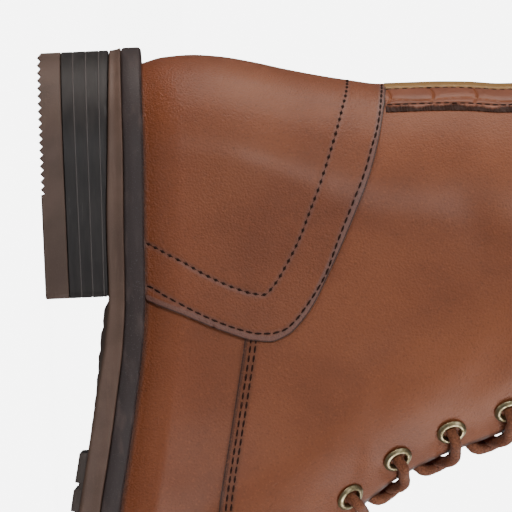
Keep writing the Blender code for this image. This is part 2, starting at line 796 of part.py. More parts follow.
def add_upper(seats):
    leather = material("brown leather", (0.20, 0.072, 0.03), 0.45)
    upper = new_object("upper", shell(fan_rows(), -WALL, QUARTER_STEP), leather)
    smooth_shading(upper, 35)
    relief = new_object("vamp relief", shell(fan_rows(last=VAMP_END), 0.0, 4 * QUARTER_STEP, False, 2 * WALL))
    helper(relief)
    seam = edge_points(QUARTER_EDGE, 25)
    hidden = [(x - SEAM_TUCK, z) for x, z in edge_points(COUNTER_EDGE, 37) if z < seam[0][1] - SEAM_TUCK]
    front = SOLE_LENGTH * 1.1
    outline = [*hidden, *seam, (front, seam[-1][1]), (front, 0.0), (hidden[0][0], 0.0)]
    boolean(relief, side_prism("vamp side", outline), "INTERSECT")
    boolean(upper, relief, "DIFFERENCE")
    faces = []
    radius = EYELET_BORE / 2 + EYELET_WALL + CLEARANCE
    for _, _, _, centre, normal, _ in seats:
        turn = Vector((0, 0, 1)).rotation_difference(Vector(normal))
        rings = []
        for z in (-2 * WALL, 4 * QUARTER_STEP):
            spin = [2 * math.pi * i / EYELET_SIDES for i in range(EYELET_SIDES)]
            circle = [Vector((radius * math.cos(a), radius * math.sin(a), z)) for a in spin]
            rings.append([turn @ point + Vector(centre) for point in circle])
        for i in range(EYELET_SIDES):
            j = (i + 1) % EYELET_SIDES
            faces.append((rings[0][i], rings[0][j], rings[1][j], rings[1][i]))
        faces += [list(reversed(rings[0])), rings[1]]
    boolean(upper, helper(new_object("eyelet holes", closed_mesh(faces))), "DIFFERENCE")
    return upper


def add_counter():
    leather = material("brown counter leather", (0.18, 0.064, 0.028), 0.4)
    low = QUARTER_STEP + CLEARANCE
    counter = new_object("counter", shell(fan_rows(0.5), low, low + COUNTER_THICKNESS), leather)
    outline = [*edge_points(COUNTER_EDGE, 37), (-0.06 * SOLE_LENGTH, 0.0)]
    outline[0] = (outline[0][0], 0.0)
    boolean(counter, side_prism("counter side", outline), "INTERSECT")
    return smooth_shading(counter, 35)


def add_back_strip():
    leather = material("embossed strip leather", (0.27, 0.12, 0.065), 0.45)
    low = QUARTER_STEP + CLEARANCE
    strip = new_object("back_strip", shell(fan_rows(0.65), low, low + STRIP_THICKNESS), leather)
    heights = np.linspace(STRIP_FOOT, COLLAR_BACK - STRIP_HEAD_DROP, 9) * SHAFT_HEIGHT
    edge_x = back_x(heights) + STRIP_WIDTH
    edge = list(zip(edge_x, feather(edge_x) + heights))
    foot = [(x, z + 2 * CLEARANCE) for x, z in edge_points(COUNTER_EDGE, 73) if x < edge[0][0]]
    outline = [*edge[1:], (foot[-1][0], edge[-1][1]), *reversed(foot)]
    boolean(strip, side_prism("strip side", outline), "INTERSECT")
    return smooth_shading(strip, 35)


def add_tongue():
    leather = material("tongue leather", (0.19, 0.07, 0.032), 0.5)
    top = 1.0 + TONGUE_STAND / SHAFT_HEIGHT
    front = np.linspace(THROAT_START - 0.03, top, 17)
    width = TONGUE_WIDTH / 2 * (TONGUE_TAPER + (1 - TONGUE_TAPER) * smoothstep((front - THROAT_START) / 0.3))
    share = np.linspace(0, 1, 5)
    outer = -WALL - TONGUE_GAP
    faces = []
    for side in (OUTER, INNER):
        reach = width[:, None] * share
        line = np.where(reach > 0, along_line(front[:, None], side, reach), 0)
        points = on_last(front[:, None], side, line)
        skin = offset(points, side, outer)
        lining = offset(points, side, outer - TONGUE_THICKNESS)
        faces += patch(skin) + patch(lining)
        faces += patch([skin[0], lining[0]]) + patch([skin[-1], lining[-1]])
        faces += patch([skin[:, -1], lining[:, -1]])
    return smooth_shading(new_object("tongue", closed_mesh(faces), leather), 40)


def over_throat(front, y, lift):
    """A point over the throat: this far from the middle line, and this far out from the last."""
    side = OUTER if y < 0 else INNER
    share = along_line(np.array([front]), side, np.array([abs(y)])) if y else np.zeros(1)
    return offset(on_last(np.array([front]), side, share), side, lift)[0]


def cord(name, points, finish):
    """A round cord through the points, as a closed tube."""
    rings = []
    points = [Vector(point) for point in points]
    up = Vector((0, 0, 1))
    for i, point in enumerate(points):
        ahead = (points[min(i + 1, len(points) - 1)] - points[max(i - 1, 0)]).normalized()
        across = ahead.cross(up).normalized()
        rise = across.cross(ahead)
        ring = []
        for k in range(LACE_SIDES):
            angle = 2 * math.pi * k / LACE_SIDES
            ring.append(point + (across * math.cos(angle) + rise * math.sin(angle)) * LACE_DIAMETER / 2)
        rings.append(ring)
    faces = patch([ring + ring[:1] for ring in rings])
    faces += [list(reversed(rings[0])), rings[-1]]
    return smooth_shading(new_object(name, closed_mesh(faces), finish), 60)


def add_lace(seats):
    """The bottom bar, and a crossing for each pair above it: from over one facing down to under the other."""
    cotton = material("brown lace", (0.23, 0.10, 0.055), 0.8)
    radius = LACE_DIAMETER / 2
    lip = max(seat for *_, seat in seats) + EYELET_LIP + CLEARANCE + radius
    edge = QUARTER_STEP + 2 * CLEARANCE + radius
    rest = radius - WALL - TONGUE_GAP + CLEARANCE
    hole = {(pair, side): (height, abs(centre[1])) for pair, side, height, centre, *_ in seats}

    def route(high, low, from_side, whole):
        """Lift over the last at each share of the way from the eyelet to the far facing."""
        (top, top_y), (bottom, bottom_y) = hole[high, from_side], hole[low, -from_side]
        gap = float(throat_gap(np.array([(top + bottom) / 2]))[0])
        start, end = top_y - 0.25 * EYELET_BORE, bottom_y - 0.25 * EYELET_BORE
        far = end if whole else gap - radius - 2 * CLEARANCE
        reach = [-start, -(start + gap) / 2, -gap, -0.5 * gap, 0.0]
        lift = [lip, (lip + edge) / 2 + CLEARANCE, edge + CLEARANCE, edge + CLEARANCE, edge]
        if whole:
            reach += [0.5 * gap, gap, (end + gap) / 2, end]
            lift += lift[3::-1]
        else:
            reach += [0.5 * far, 0.8 * far, far]
            lift += [0.5 * (edge + rest), rest + 2 * CLEARANCE, rest + CLEARANCE]
        points = []
        for y, out in zip(reach, lift):
            share = (y + top_y) / (top_y + bottom_y)
            points.append(over_throat(top + (bottom - top) * share, -from_side * y, out))
        return points

    cord("lace_bar", route(1, 1, OUTER, True), cotton)
    for pair in range(1, EYELET_PAIRS):
        crossing = cord(f"lace_cross_{pair}", route(pair + 1, pair, OUTER, False), cotton)
        other = helper(cord(f"lace half {pair}", route(pair + 1, pair, INNER, False), cotton))
        boolean(crossing, other, "UNION")


def stand_over_origin():
    """Parents every piece to an empty that brings the middle of the boot's box over the origin."""
    bpy.context.view_layer.update()
    graph = bpy.context.evaluated_depsgraph_get()
    corners = []
    pieces = [thing for thing in bpy.data.objects if thing.type == "MESH"]
    for piece in pieces:
        if not piece.hide_render:
            box = piece.evaluated_get(graph).bound_box
            corners += [piece.matrix_world @ Vector(corner) for corner in box]
    low = [min(corner[i] for corner in corners) for i in range(3)]
    high = [max(corner[i] for corner in corners) for i in range(3)]
    boot = bpy.data.objects.new("boot", None)
    bpy.context.scene.collection.objects.link(boot)
    for piece in pieces:
        piece.parent = boot
    boot.location = (-(low[0] + high[0]) / 2, -(low[1] + high[1]) / 2, -low[2])


def main():
    for thing in list(bpy.data.objects):
        bpy.data.objects.remove(thing)
    add_top_lift()
    add_heel_stack()
    add_outsole()
    add_welt()
    add_insole()
    seats = eyelet_seats()
    add_upper(seats)
    add_counter()
    add_back_strip()
    add_tongue()
    add_eyelets(seats)
    add_lace(seats)
    stand_over_origin()


main()
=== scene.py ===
"""Lace up ankle boot for the right foot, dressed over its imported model, in the order in which it is made."""

import math

import bmesh
import bpy
import numpy as np
from mathutils import Matrix, Vector, kdtree


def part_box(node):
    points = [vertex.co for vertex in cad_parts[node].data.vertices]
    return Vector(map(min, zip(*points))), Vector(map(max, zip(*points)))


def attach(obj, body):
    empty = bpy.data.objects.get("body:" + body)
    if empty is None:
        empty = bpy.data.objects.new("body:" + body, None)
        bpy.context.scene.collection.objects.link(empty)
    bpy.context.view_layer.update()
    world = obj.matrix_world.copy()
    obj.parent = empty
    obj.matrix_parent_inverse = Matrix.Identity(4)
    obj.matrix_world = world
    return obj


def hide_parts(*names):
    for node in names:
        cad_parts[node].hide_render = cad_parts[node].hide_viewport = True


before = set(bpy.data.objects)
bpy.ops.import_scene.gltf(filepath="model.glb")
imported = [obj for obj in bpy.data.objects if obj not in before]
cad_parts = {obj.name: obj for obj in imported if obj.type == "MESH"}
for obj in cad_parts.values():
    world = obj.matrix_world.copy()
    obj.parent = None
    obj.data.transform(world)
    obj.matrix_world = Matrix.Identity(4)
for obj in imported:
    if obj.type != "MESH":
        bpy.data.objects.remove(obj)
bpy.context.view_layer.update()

# Camera, light and floor
# A long lens looks level at the outer side of the heel and the shaft, rolled so that the toe points down.
# Large soft boxes light the boot. The floor and the wall behind it are pale paper that glows of itself, so
# that both have the same even tone.
MM = 0.001
BOOT_SHIFT = (-0.1518922, -0.0008843, 0.0)
PICTURE_SPAN = 0.16384
PICTURE_CENTRE = (0.0686, 0.0675)
LENS_REACH = 3.0
OUTER_FACE = -0.020
FLOOR_TILT = 0.0441

camera_data = bpy.data.cameras.new("studio lens")
camera_data.sensor_width = 36
camera_data.lens = 36 * LENS_REACH / PICTURE_SPAN
camera_data.clip_start = 0.05
camera = bpy.data.objects.new("studio camera", camera_data)
bpy.context.scene.collection.objects.link(camera)
level = math.sqrt(1 - FLOOR_TILT ** 2)
turn = Matrix(((FLOOR_TILT, -level, 0), (0, 0, -1), (level, FLOOR_TILT, 0)))
camera.matrix_world = Matrix.Translation(
    (PICTURE_CENTRE[0] + BOOT_SHIFT[0], OUTER_FACE - LENS_REACH, PICTURE_CENTRE[1])
) @ turn.to_4x4()
bpy.context.scene.camera = camera


def soft_box(name, place, aim, size, power, colour=(1.0, 1.0, 1.0)):
    data = bpy.data.lights.new(name, "AREA")
    data.shape = "RECTANGLE"
    data.size, data.size_y = size
    data.energy = power
    data.color = colour
    lamp = bpy.data.objects.new(name, data)
    lamp.location = place
    lamp.rotation_euler = (Vector(aim) - Vector(place)).to_track_quat("-Z", "Y").to_euler()
    bpy.context.scene.collection.objects.link(lamp)


soft_box("key box", (-0.44, -1.20, 0.20), (-0.05, 0.0, 0.07), (0.26, 0.26), 5.2)
soft_box("toe side box", (0.95, -0.16, 0.50), (-0.02, 0.0, 0.09), (0.7, 0.6), 8.6)
soft_box("heel side box", (-1.05, -0.06, 0.24), (-0.08, 0.0, 0.08), (0.8, 0.6), 7.5, (1.0, 0.92, 0.86))
soft_box("top box", (0.10, -0.75, 1.00), (0.0, 0.0, 0.06), (0.8, 0.6), 3.0)
soft_box("low box", (-0.10, -0.75, -0.75), (-0.05, 0.0, 0.04), (0.9, 0.7), 2.2)
soft_box("inner box", (0.3, 1.1, 0.6), (0.0, 0.0, 0.08), (0.9, 0.8), 6.0)

world = bpy.data.worlds.new("pale studio")
world.use_nodes = True
world.node_tree.nodes["Background"].inputs["Color"].default_value = (0.888, 0.888, 0.888, 1)
world.node_tree.nodes["Background"].inputs["Strength"].default_value = 0.13
bpy.context.scene.world = world


class Value:
    """A number that varies over a surface. Sums and products of values add the nodes that work them out."""

    def __init__(self, tree, socket):
        self.tree = tree
        self.socket = socket

    def maths(self, operation, *others, clamp=False):
        node = self.tree.nodes.new("ShaderNodeMath")
        node.operation = operation
        node.use_clamp = clamp
        for place, value in zip(node.inputs, (self, *others)):
            if isinstance(value, Value):
                self.tree.links.new(value.socket, place)
            else:
                place.default_value = value
        return Value(self.tree, node.outputs[0])

    def __add__(self, other):
        return self.maths("ADD", other)

    __radd__ = __add__

    def __sub__(self, other):
        return self.maths("SUBTRACT", other)

    def __rsub__(self, other):
        return self.maths("MULTIPLY", -1.0) + other

    def __mul__(self, other):
        return self.maths("MULTIPLY", other)

    __rmul__ = __mul__

    def within(self, low, high):
        """Zero at low and below, one at high and above, and smooth between them. Low may be the larger."""
        share = (self - low).maths("DIVIDE", high - low, clamp=True)
        return share * share * (3 - 2 * share)


class Finish:
    """A surface finish made of nodes around one Principled shader."""

    def __init__(self, name, **constants):
        self.material = bpy.data.materials.new(name)
        self.material.use_nodes = True
        self.tree = self.material.node_tree
        self.shader = self.tree.nodes["Principled BSDF"]
        for socket, value in constants.items():
            self.shader.inputs[socket.replace("_", " ").title().replace("Ior", "IOR")].default_value = value

    def node(self, kind, settings=None, **sockets):
        """Any node: its settings first, then the values or links of its sockets, s0 for the first."""
        node = self.tree.nodes.new("ShaderNode" + kind)
        for setting, value in (settings or {}).items():
            setattr(node, setting, value)
        for name, value in sockets.items():
            place = node.inputs[int(name[1:])] if name[1:].isdigit() else node.inputs[name.replace("_", " ")]
            if isinstance(value, Value):
                self.tree.links.new(value.socket, place)
            elif isinstance(value, tuple) and len(value) == 3 and place.type == "RGBA":
                place.default_value = (*value, 1)
            else:
                place.default_value = value
        return node

    def out(self, node, output=0):
        return Value(self.tree, node.outputs[output])

    def place(self, stretch=(1, 1, 1)):
        """Where a point is on the object, stretched along each axis."""
        at = self.out(self.node("TexCoord"), "Object")
        return self.out(self.node("Mapping", None, Vector=at, Scale=stretch))

    def carried(self, name):
        """A number that the mesh carries at each point."""
        return self.out(self.node("Attribute", {"attribute_name": name}), "Fac")

    def noise(self, scale, detail=3.0, stretch=(1, 1, 1), rough=0.5):
        at = self.place(stretch)
        texture = self.node("TexNoise", None, Vector=at, Scale=scale, Detail=detail, Roughness=rough)
        return self.out(texture, "Fac")

    def cells(self, scale, stretch=(1, 1, 1), feature="F1"):
        node = self.node("TexVoronoi", {"feature": feature}, Vector=self.place(stretch), Scale=scale)
        return self.out(node, "Distance")

    def mix(self, share, first, second):
        """A colour between two others."""
        return self.out(self.node("Mix", {"data_type": "RGBA"}, s0=share, s6=first, s7=second), 2)

    def feed(self, socket, value):
        self.tree.links.new(value.socket, self.shader.inputs[socket])

    def bump(self, height, depth):
        node = self.node("Bump", None, Strength=1.0, Distance=depth, Height=height)
        self.tree.links.new(node.outputs[0], self.shader.inputs["Normal"])


PAPER_GLOW = 6.6
WALL_RADIUS, FLOOR_REACH = 9, 7
FLOOR_SHARE, FLOOR_TONE = 0.97, 0.25
backdrop_mesh = bmesh.new()
bmesh.ops.create_uvsphere(backdrop_mesh, u_segments=48, v_segments=24, radius=WALL_RADIUS)
floor_mesh = bmesh.new()
bmesh.ops.create_grid(floor_mesh, x_segments=2, y_segments=2, size=FLOOR_REACH)
for name, made, glow, tone in (
    ("backdrop", backdrop_mesh, 1.0, 0.0), ("floor", floor_mesh, FLOOR_SHARE, FLOOR_TONE),
):
    strength = PAPER_GLOW * glow
    paper = Finish("pale paper " + name, roughness=1, emission_strength=strength, specular_ior_level=0)
    paper.shader.inputs["Base Color"].default_value = (tone, tone, tone, 1)
    paper.shader.inputs["Emission Color"].default_value = (1, 1, 1, 1)
    mesh = bpy.data.meshes.new(name)
    made.to_mesh(mesh)
    made.free()
    mesh.materials.append(paper.material)
    sheet = bpy.data.objects.new(name, mesh)
    sheet.visible_diffuse = False
    sheet.visible_glossy = False
    sheet.visible_shadow = False
    bpy.context.scene.collection.objects.link(sheet)

# The last
# The boot's walls, soles and seams all follow the shape of the last, so its lines come first. Lengths are in
# metres, with x forward from the back of the heel. The tables are shares of the sole's or the shaft's length.
SOLE_LENGTH = 0.305
WELT_THICKNESS = 0.0061
OUTSOLE_THICKNESS = 0.0071
TREAD_THICKNESS = 0.0028
HEEL_LIFT = 0.0173
TOE_SPRING = 0.0125
BALL_WIDTH = 0.092
HEEL_WIDTH = 0.062
COLLAR_WIDTH = 0.072
INSTEP_HEIGHT = 0.0612
SHAFT_RISE = 0.093
FOREPART_THICKNESS = WELT_THICKNESS + OUTSOLE_THICKNESS + TREAD_THICKNESS
SHAFT_HEIGHT = INSTEP_HEIGHT + SHAFT_RISE
COLLAR_BACK = 0.90
THROAT_START = 0.412
THROAT_ROUND = 0.028
THROAT_GAP_LOW = 0.0165
THROAT_GAP_HIGH = 0.021
OUTER, INNER = -1, 1


def table(names, *rows):
    return dict(zip(names.split(), np.array(rows, float).T))


RISE = table(
    "along lift spring",
    (0.000, 1.000, 0.000), (0.098, 0.988, 0.000), (0.190, 0.936, 0.000), (0.262, 0.902, 0.000),
    (0.308, 0.832, 0.000), (0.370, 0.659, 0.000), (0.423, 0.491, 0.000), (0.487, 0.272, 0.000),
    (0.557, 0.110, 0.000), (0.636, 0.000, 0.000), (0.708, 0.000, 0.000), (0.787, 0.000, 0.104),
    (0.885, 0.000, 0.416), (1.000, 0.000, 1.000),
)
PLAN = table(
    "along ball outer inner outer_tuck inner_tuck crown axis",
    (0.000, 0.00, 0.500, 0.492, 0.92, 0.92, 0.522, 0.000),
    (0.197, 0.00, 0.500, 0.484, 0.92, 0.91, 0.522, 0.000),
    (0.295, 0.05, 0.488, 0.449, 0.91, 0.88, 0.530, 0.000),
    (0.377, 0.15, 0.481, 0.414, 0.90, 0.82, 0.538, 0.000),
    (0.459, 0.35, 0.490, 0.407, 0.92, 0.84, 0.543, 0.000),
    (0.525, 0.55, 0.503, 0.433, 0.95, 0.90, 0.540, 0.000),
    (0.590, 0.80, 0.506, 0.465, 0.965, 0.95, 0.522, 0.002),
    (0.656, 0.95, 0.508, 0.492, 0.97, 0.97, 0.490, 0.006),
    (0.721, 1.00, 0.500, 0.500, 0.97, 0.97, 0.455, 0.013),
    (0.787, 1.00, 0.480, 0.476, 0.97, 0.97, 0.418, 0.020),
    (0.852, 1.00, 0.462, 0.455, 0.97, 0.97, 0.465, 0.028),
    (0.918, 1.00, 0.450, 0.450, 0.97, 0.97, 0.560, 0.037),
    (0.984, 1.00, 0.440, 0.450, 0.97, 0.97, 0.650, 0.045),
)
SHAFT = table(
    "height outer inner back_round",
    (0.00, 0.430, 0.430, 0.417), (0.11, 0.445, 0.440, 0.430), (0.28, 0.440, 0.435, 0.480),
    (0.42, 0.450, 0.458, 0.560), (0.60, 0.462, 0.465, 0.620), (0.80, 0.482, 0.482, 0.640),
    (1.00, 0.500, 0.500, 0.640),
)
BACK = table(
    "height along",
    (0.000, 0.0242), (0.050, 0.0183), (0.097, 0.0173), (0.157, 0.0200), (0.228, 0.0272), (0.299, 0.0367),
    (0.370, 0.0452), (0.426, 0.0508), (0.497, 0.0563), (0.600, 0.0570), (0.675, 0.0587), (0.750, 0.0620),
    (1.000, 0.0630),
)
RIDGE = table(
    "along instep shaft",
    (0.9787, 0.000, 0.000), (0.9846, 0.090, 0.000), (0.9803, 0.225, 0.000), (0.9623, 0.368, 0.000),
    (0.9311, 0.484, 0.000), (0.8852, 0.585, 0.000), (0.8197, 0.688, 0.000), (0.7541, 0.784, 0.000),
    (0.6951, 0.882, 0.000), (0.6426, 0.969, 0.000), (0.6230, 1.000, 0.003), (0.5770, 1.000, 0.058),
    (0.5344, 1.000, 0.117), (0.5000, 1.000, 0.173), (0.4852, 1.000, 0.226), (0.4672, 1.000, 0.305),
    (0.4475, 1.000, 0.437), (0.4344, 1.000, 0.556), (0.4164, 1.000, 0.741), (0.3990, 1.000, 1.000),
    (0.3770, 1.000, 1.440), (0.3440, 1.000, 2.030),
)
FAN = table(
    "front base steps",
    (0.000, 0.000, 0), (0.025, 0.0012, 1), (0.050, 0.0050, 1), (0.070, 0.012, 1), (0.090, 0.022, 1),
    (0.146, 0.046, 2), (0.232, 0.126, 3), (0.311, 0.253, 3), (0.385, 0.373, 2), (0.412, 0.420, 1),
    (0.414, 0.424, 1), (0.419, 0.435, 1), (0.428, 0.457, 1), (0.440, 0.490, 1), (0.496, 0.632, 3),
    (0.577, 0.820, 3), (0.616, 0.924, 2), (0.629, 0.955, 1), (0.640, 0.977, 1), (0.650, 0.992, 1),
    (0.658, 1.000, 1), (0.707, 1.122, 2), (0.755, 1.340, 2), (0.837, 1.560, 2), (0.914, 1.780, 2),
    (1.000, 2.000, 2),
)


def curve(keys, values, at):
    """A smooth line through a table's rows that never overshoots them, flat beyond its ends."""
    at = np.clip(at, keys[0], keys[-1])
    widths = np.diff(keys)
    slopes = np.diff(values) / widths
    before, after = slopes[:-1], slopes[1:]
    even = before * after > 0
    mean = np.where(even, 2 * before * after / np.where(even, before + after, 1), 0)
    tangents = np.concatenate([slopes[:1], mean, slopes[-1:]])
    i = np.clip(np.searchsorted(keys, at, side="right") - 1, 0, len(widths) - 1)
    t = (at - keys[i]) / widths[i]
    rise = values[i + 1] - values[i]
    first, last = tangents[i] * widths[i], tangents[i + 1] * widths[i]
    return values[i] + t * (first + t * (3 * rise - 2 * first - last + t * (first + last - 2 * rise)))


def smoothstep(t):
    t = np.clip(t, 0, 1)
    return t * t * (3 - 2 * t)


def feather(x):
    """Height of the seat, where upper and welt meet."""
    along = x / SOLE_LENGTH
    lift = curve(RISE["along"], RISE["lift"], along) * HEEL_LIFT
    return FOREPART_THICKNESS + lift + curve(RISE["along"], RISE["spring"], along) * TOE_SPRING


RIDGE_X = RIDGE["along"] * SOLE_LENGTH
RIDGE_HEIGHT = RIDGE["instep"] * INSTEP_HEIGHT + RIDGE["shaft"] * SHAFT_RISE
HEIGHTS = np.linspace(0, RIDGE_HEIGHT[-1], 3001)
RIDGE_PLACES = curve(RIDGE_HEIGHT, RIDGE_X, HEIGHTS)
TIP = int(np.argmax(RIDGE_PLACES))


def ridge_x(height):
    return curve(RIDGE_HEIGHT, RIDGE_X, height)


def ridge_height(x):
    return np.interp(x, RIDGE_PLACES[:TIP:-1], HEIGHTS[:TIP:-1])


def back_x(height):
    return curve(BACK["height"], BACK["along"], height / SHAFT_HEIGHT) * SOLE_LENGTH


def axis(x):
    return curve(PLAN["along"], PLAN["axis"], x / SOLE_LENGTH) * BALL_WIDTH


def full_width(x, height, side):
    """Distance from the middle line to the flat of the wall, before its front and back close in."""
    name = "outer" if side == OUTER else "inner"
    along = x / SOLE_LENGTH
    local = HEEL_WIDTH + (BALL_WIDTH - HEEL_WIDTH) * curve(PLAN["along"], PLAN["ball"], along)
    tuck = curve(PLAN["along"], PLAN[name + "_tuck"], along)
    tuck = tuck + (1 - tuck) * smoothstep(height / (0.2 * INSTEP_HEIGHT))
    foot = local * curve(PLAN["along"], PLAN[name], along) * tuck
    shaft = COLLAR_WIDTH * curve(SHAFT["height"], SHAFT[name], height / SHAFT_HEIGHT)
    return foot + (shaft - foot) * smoothstep((height / INSTEP_HEIGHT - 0.13) / 1.02)


def closing(x, height):
    """One on the flat of the wall, and falling to zero on the front line and on the back line."""
    ahead = ridge_x(height) - x
    above = ridge_height(x) - height
    outside = np.where(np.minimum(ahead, above) < 0, -1, 1)
    depth = outside * np.abs(ahead * above) / np.hypot(ahead, above + 1e-9)
    front = depth / (BALL_WIDTH * curve(PLAN["along"], PLAN["crown"], x / SOLE_LENGTH))
    back_round = COLLAR_WIDTH * curve(SHAFT["height"], SHAFT["back_round"], height / SHAFT_HEIGHT)
    back = (x - back_x(height)) / back_round
    return (1 - (1 - np.minimum(front, 1)) ** 2) * (1 - (1 - np.minimum(back, 1)) ** 2)


def half_width(x, height, side):
    return full_width(x, height, side) * np.sqrt(np.maximum(closing(x, height), 0))


def excess(points, side):
    """Negative inside the last, zero on it and positive outside."""
    x, y, z = np.moveaxis(points, -1, 0)
    height = z - feather(x)
    return ((y - axis(x)) / full_width(x, height, side)) ** 2 - closing(x, height)


def outward(points, side):
    """The last's normal at each point."""
    slopes = np.empty_like(points)
    for i in range(3):
        step = np.zeros(3)
        step[i] = 2e-5
        slopes[..., i] = excess(points + step, side) - excess(points - step, side)
    return slopes / np.linalg.norm(slopes, axis=-1, keepdims=True)


def fan_line(front):
    """Side-view ends, x and height, of the line of the wall that starts at this height on the front line."""
    base = np.interp(front, FAN["front"], FAN["base"])
    toe_x, heel_x = RIDGE_X[0], BACK["along"][0] * SOLE_LENGTH
    climb = np.clip(base - 1, 0, 1) * COLLAR_BACK * SHAFT_HEIGHT
    base_x = np.where(base <= 1, toe_x + (heel_x - toe_x) * np.minimum(base, 1), back_x(climb))
    top_height = front * SHAFT_HEIGHT
    return ridge_x(top_height), top_height, base_x, climb


def along_line(front, side, reach):
    """Share of each fan line at which the last is this far from its middle line."""
    top_x, top_height, base_x, base_height = fan_line(front)
    low, high = np.zeros_like(top_x + reach), np.full_like(top_x + reach, 0.5)
    for _ in range(32):
        middle = (low + high) / 2
        x = top_x + (base_x - top_x) * middle
        height = top_height + (base_height - top_height) * middle
        near = half_width(x, height, side) < reach
        low, high = np.where(near, middle, low), np.where(near, high, middle)
    return high


def on_last(front, side, share):
    top_x, top_height, base_x, base_height = fan_line(front)
    x = top_x + (base_x - top_x) * share
    height = top_height + (base_height - top_height) * share
    return np.stack([x, axis(x) + side * half_width(x, height, side), feather(x) + height], axis=-1)


def in_side_view(x, height, side):
    """Points of the last from their place in the side view."""
    return np.stack([x, axis(x) + side * half_width(x, height, side), feather(x) + height], axis=-1)


def throat_gap(front):
    """Half the gap between the facings, round at its lower end."""
    climb = np.clip((front - THROAT_START) / (1 - THROAT_START), 0, 1)
    entry = np.clip((front - THROAT_START) / THROAT_ROUND, 0, 1)
    wide = THROAT_GAP_LOW + (THROAT_GAP_HIGH - THROAT_GAP_LOW) * climb
    return wide / 2 * np.sqrt(1 - (1 - entry) ** 2)


def sole_outline(reach, heel_reach=0.0):
    """Outer and inner edge, as x and y, of the feather line moved out by reach, and more at the heel."""
    toe_x, heel_x = RIDGE_X[0], BACK["along"][0] * SOLE_LENGTH
    x = heel_x + (toe_x - heel_x) * (1 - np.cos(np.linspace(0, math.pi, 401))) / 2
    sides = []
    for side in (OUTER, INNER):
        y = axis(x) + side * half_width(x, np.zeros_like(x), side)
        along = np.gradient(np.stack([x, y], axis=-1), axis=0)
        normal = np.stack([-along[:, 1], along[:, 0]], axis=-1) * side
        normal[0], normal[-1] = (-1, 0), (1, 0)
        normal /= np.linalg.norm(normal, axis=-1, keepdims=True)
        amount = reach + heel_reach * (1 - smoothstep((x / SOLE_LENGTH - 0.20) / 0.16))
        sides.append(np.stack([x, y], axis=-1) + normal * amount[:, None])
    return sides


# Heel lift
# The rubber layer under the heel, with a sawtooth tread over its back half, cut flat at the breast.
# It is nailed and cemented under the leather stack, then scoured flush with it.
HEEL_LENGTH = 0.0795
TOP_LIFT_THICKNESS = 0.0075
RIB_PITCH = 0.0025
RIB_DEPTH = 0.0011
RIBBED_LENGTH = 0.0455
WELT_REACH = 0.0056
HEEL_INSET = 0.0006
HEEL_REACH = 0.0021


def stand(piece_mesh, name, finish, slot, *nodes):
    """Links a mesh at its place in the boot, with its finish, and hides the solids that it stands for. The
    slot is not used.
    """
    mesh = bpy.data.meshes.new(name)
    bmesh.ops.translate(piece_mesh, vec=BOOT_SHIFT, verts=piece_mesh.verts)
    piece_mesh.to_mesh(mesh)
    piece_mesh.free()
    mesh.materials.append(finish.material)
    mesh.shade_smooth()
    mesh.set_sharp_from_angle(angle=math.radians(42))
    piece = bpy.data.objects.new(name, mesh)
    bpy.context.scene.collection.objects.link(piece)
    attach(piece, "root")
    if nodes:
        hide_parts(*nodes)
    return piece


def stations(outline, count, first=None, last=None):
    """Places along the sole, closer together at a round end."""
    low, high = outline[0][0, 0], outline[0][-1, 0]
    round_back, round_front = first is None, last is None
    first = low + 5e-5 if round_back else first
    last = high - 5e-5 if round_front else last
    t = np.linspace(0, 1, count)
    if round_back and round_front:
        t = (1 - np.cos(math.pi * t)) / 2
    elif round_back:
        t = 1 - np.cos(math.pi / 2 * t)
    elif round_front:
        t = np.sin(math.pi / 2 * t)
    return first + (last - first) * t


def slab(rings, across=1, under=None, corner=0.0):
    """A layer of the sole from rings of (outline, places, height), the lowest first.

    Across is the number of columns of its underside, and under lowers it by place and share of the width.
    Corner rounds the plan's corners at the front end.
    """
    loops = []
    for outline, places, height in rings:
        outer, inner = (np.interp(places, edge[:, 0], edge[:, 1]) for edge in outline)
        if corner:
            near = np.clip((places - (places[-1] - corner)) / corner, 0, 1)
            cut = corner * (1 - np.sqrt(1 - near ** 2))
            outer, inner = outer + cut, inner - cut
        z = height(places)
        loops.append((np.stack([places, outer, z], -1), np.stack([places, inner, z], -1)))
    low_outer, low_inner = loops[0]
    ring = [low_outer + (low_inner - low_outer) * k / across for k in range(across, 0, -1)]
    if under is not None:
        for k, row in zip(range(across, 0, -1), ring):
            row[:, 2] -= under(row[:, 0], k / across)
    ring += [outer for outer, _ in loops] + [inner for _, inner in reversed(loops[1:])]
    grid = np.array([*ring, ring[0]])
    bm = bmesh.new()
    bmesh.ops.create_grid(bm, x_segments=grid.shape[1] - 1, y_segments=grid.shape[0] - 1, size=0.5)
    bm.verts.ensure_lookup_table()
    for vert, place in zip(bm.verts, grid.reshape(-1, 3)):
        vert.co = place
    bmesh.ops.remove_doubles(bm, verts=bm.verts, dist=1e-6)
    bmesh.ops.holes_fill(bm, edges=[edge for edge in bm.edges if edge.is_boundary], sides=0)
    bmesh.ops.recalc_face_normals(bm, faces=bm.faces)
    if bm.calc_volume(signed=True) < 0:
        bmesh.ops.reverse_faces(bm, faces=bm.faces)
    return bm


def flat(height):
    return lambda x: np.full_like(x, height)


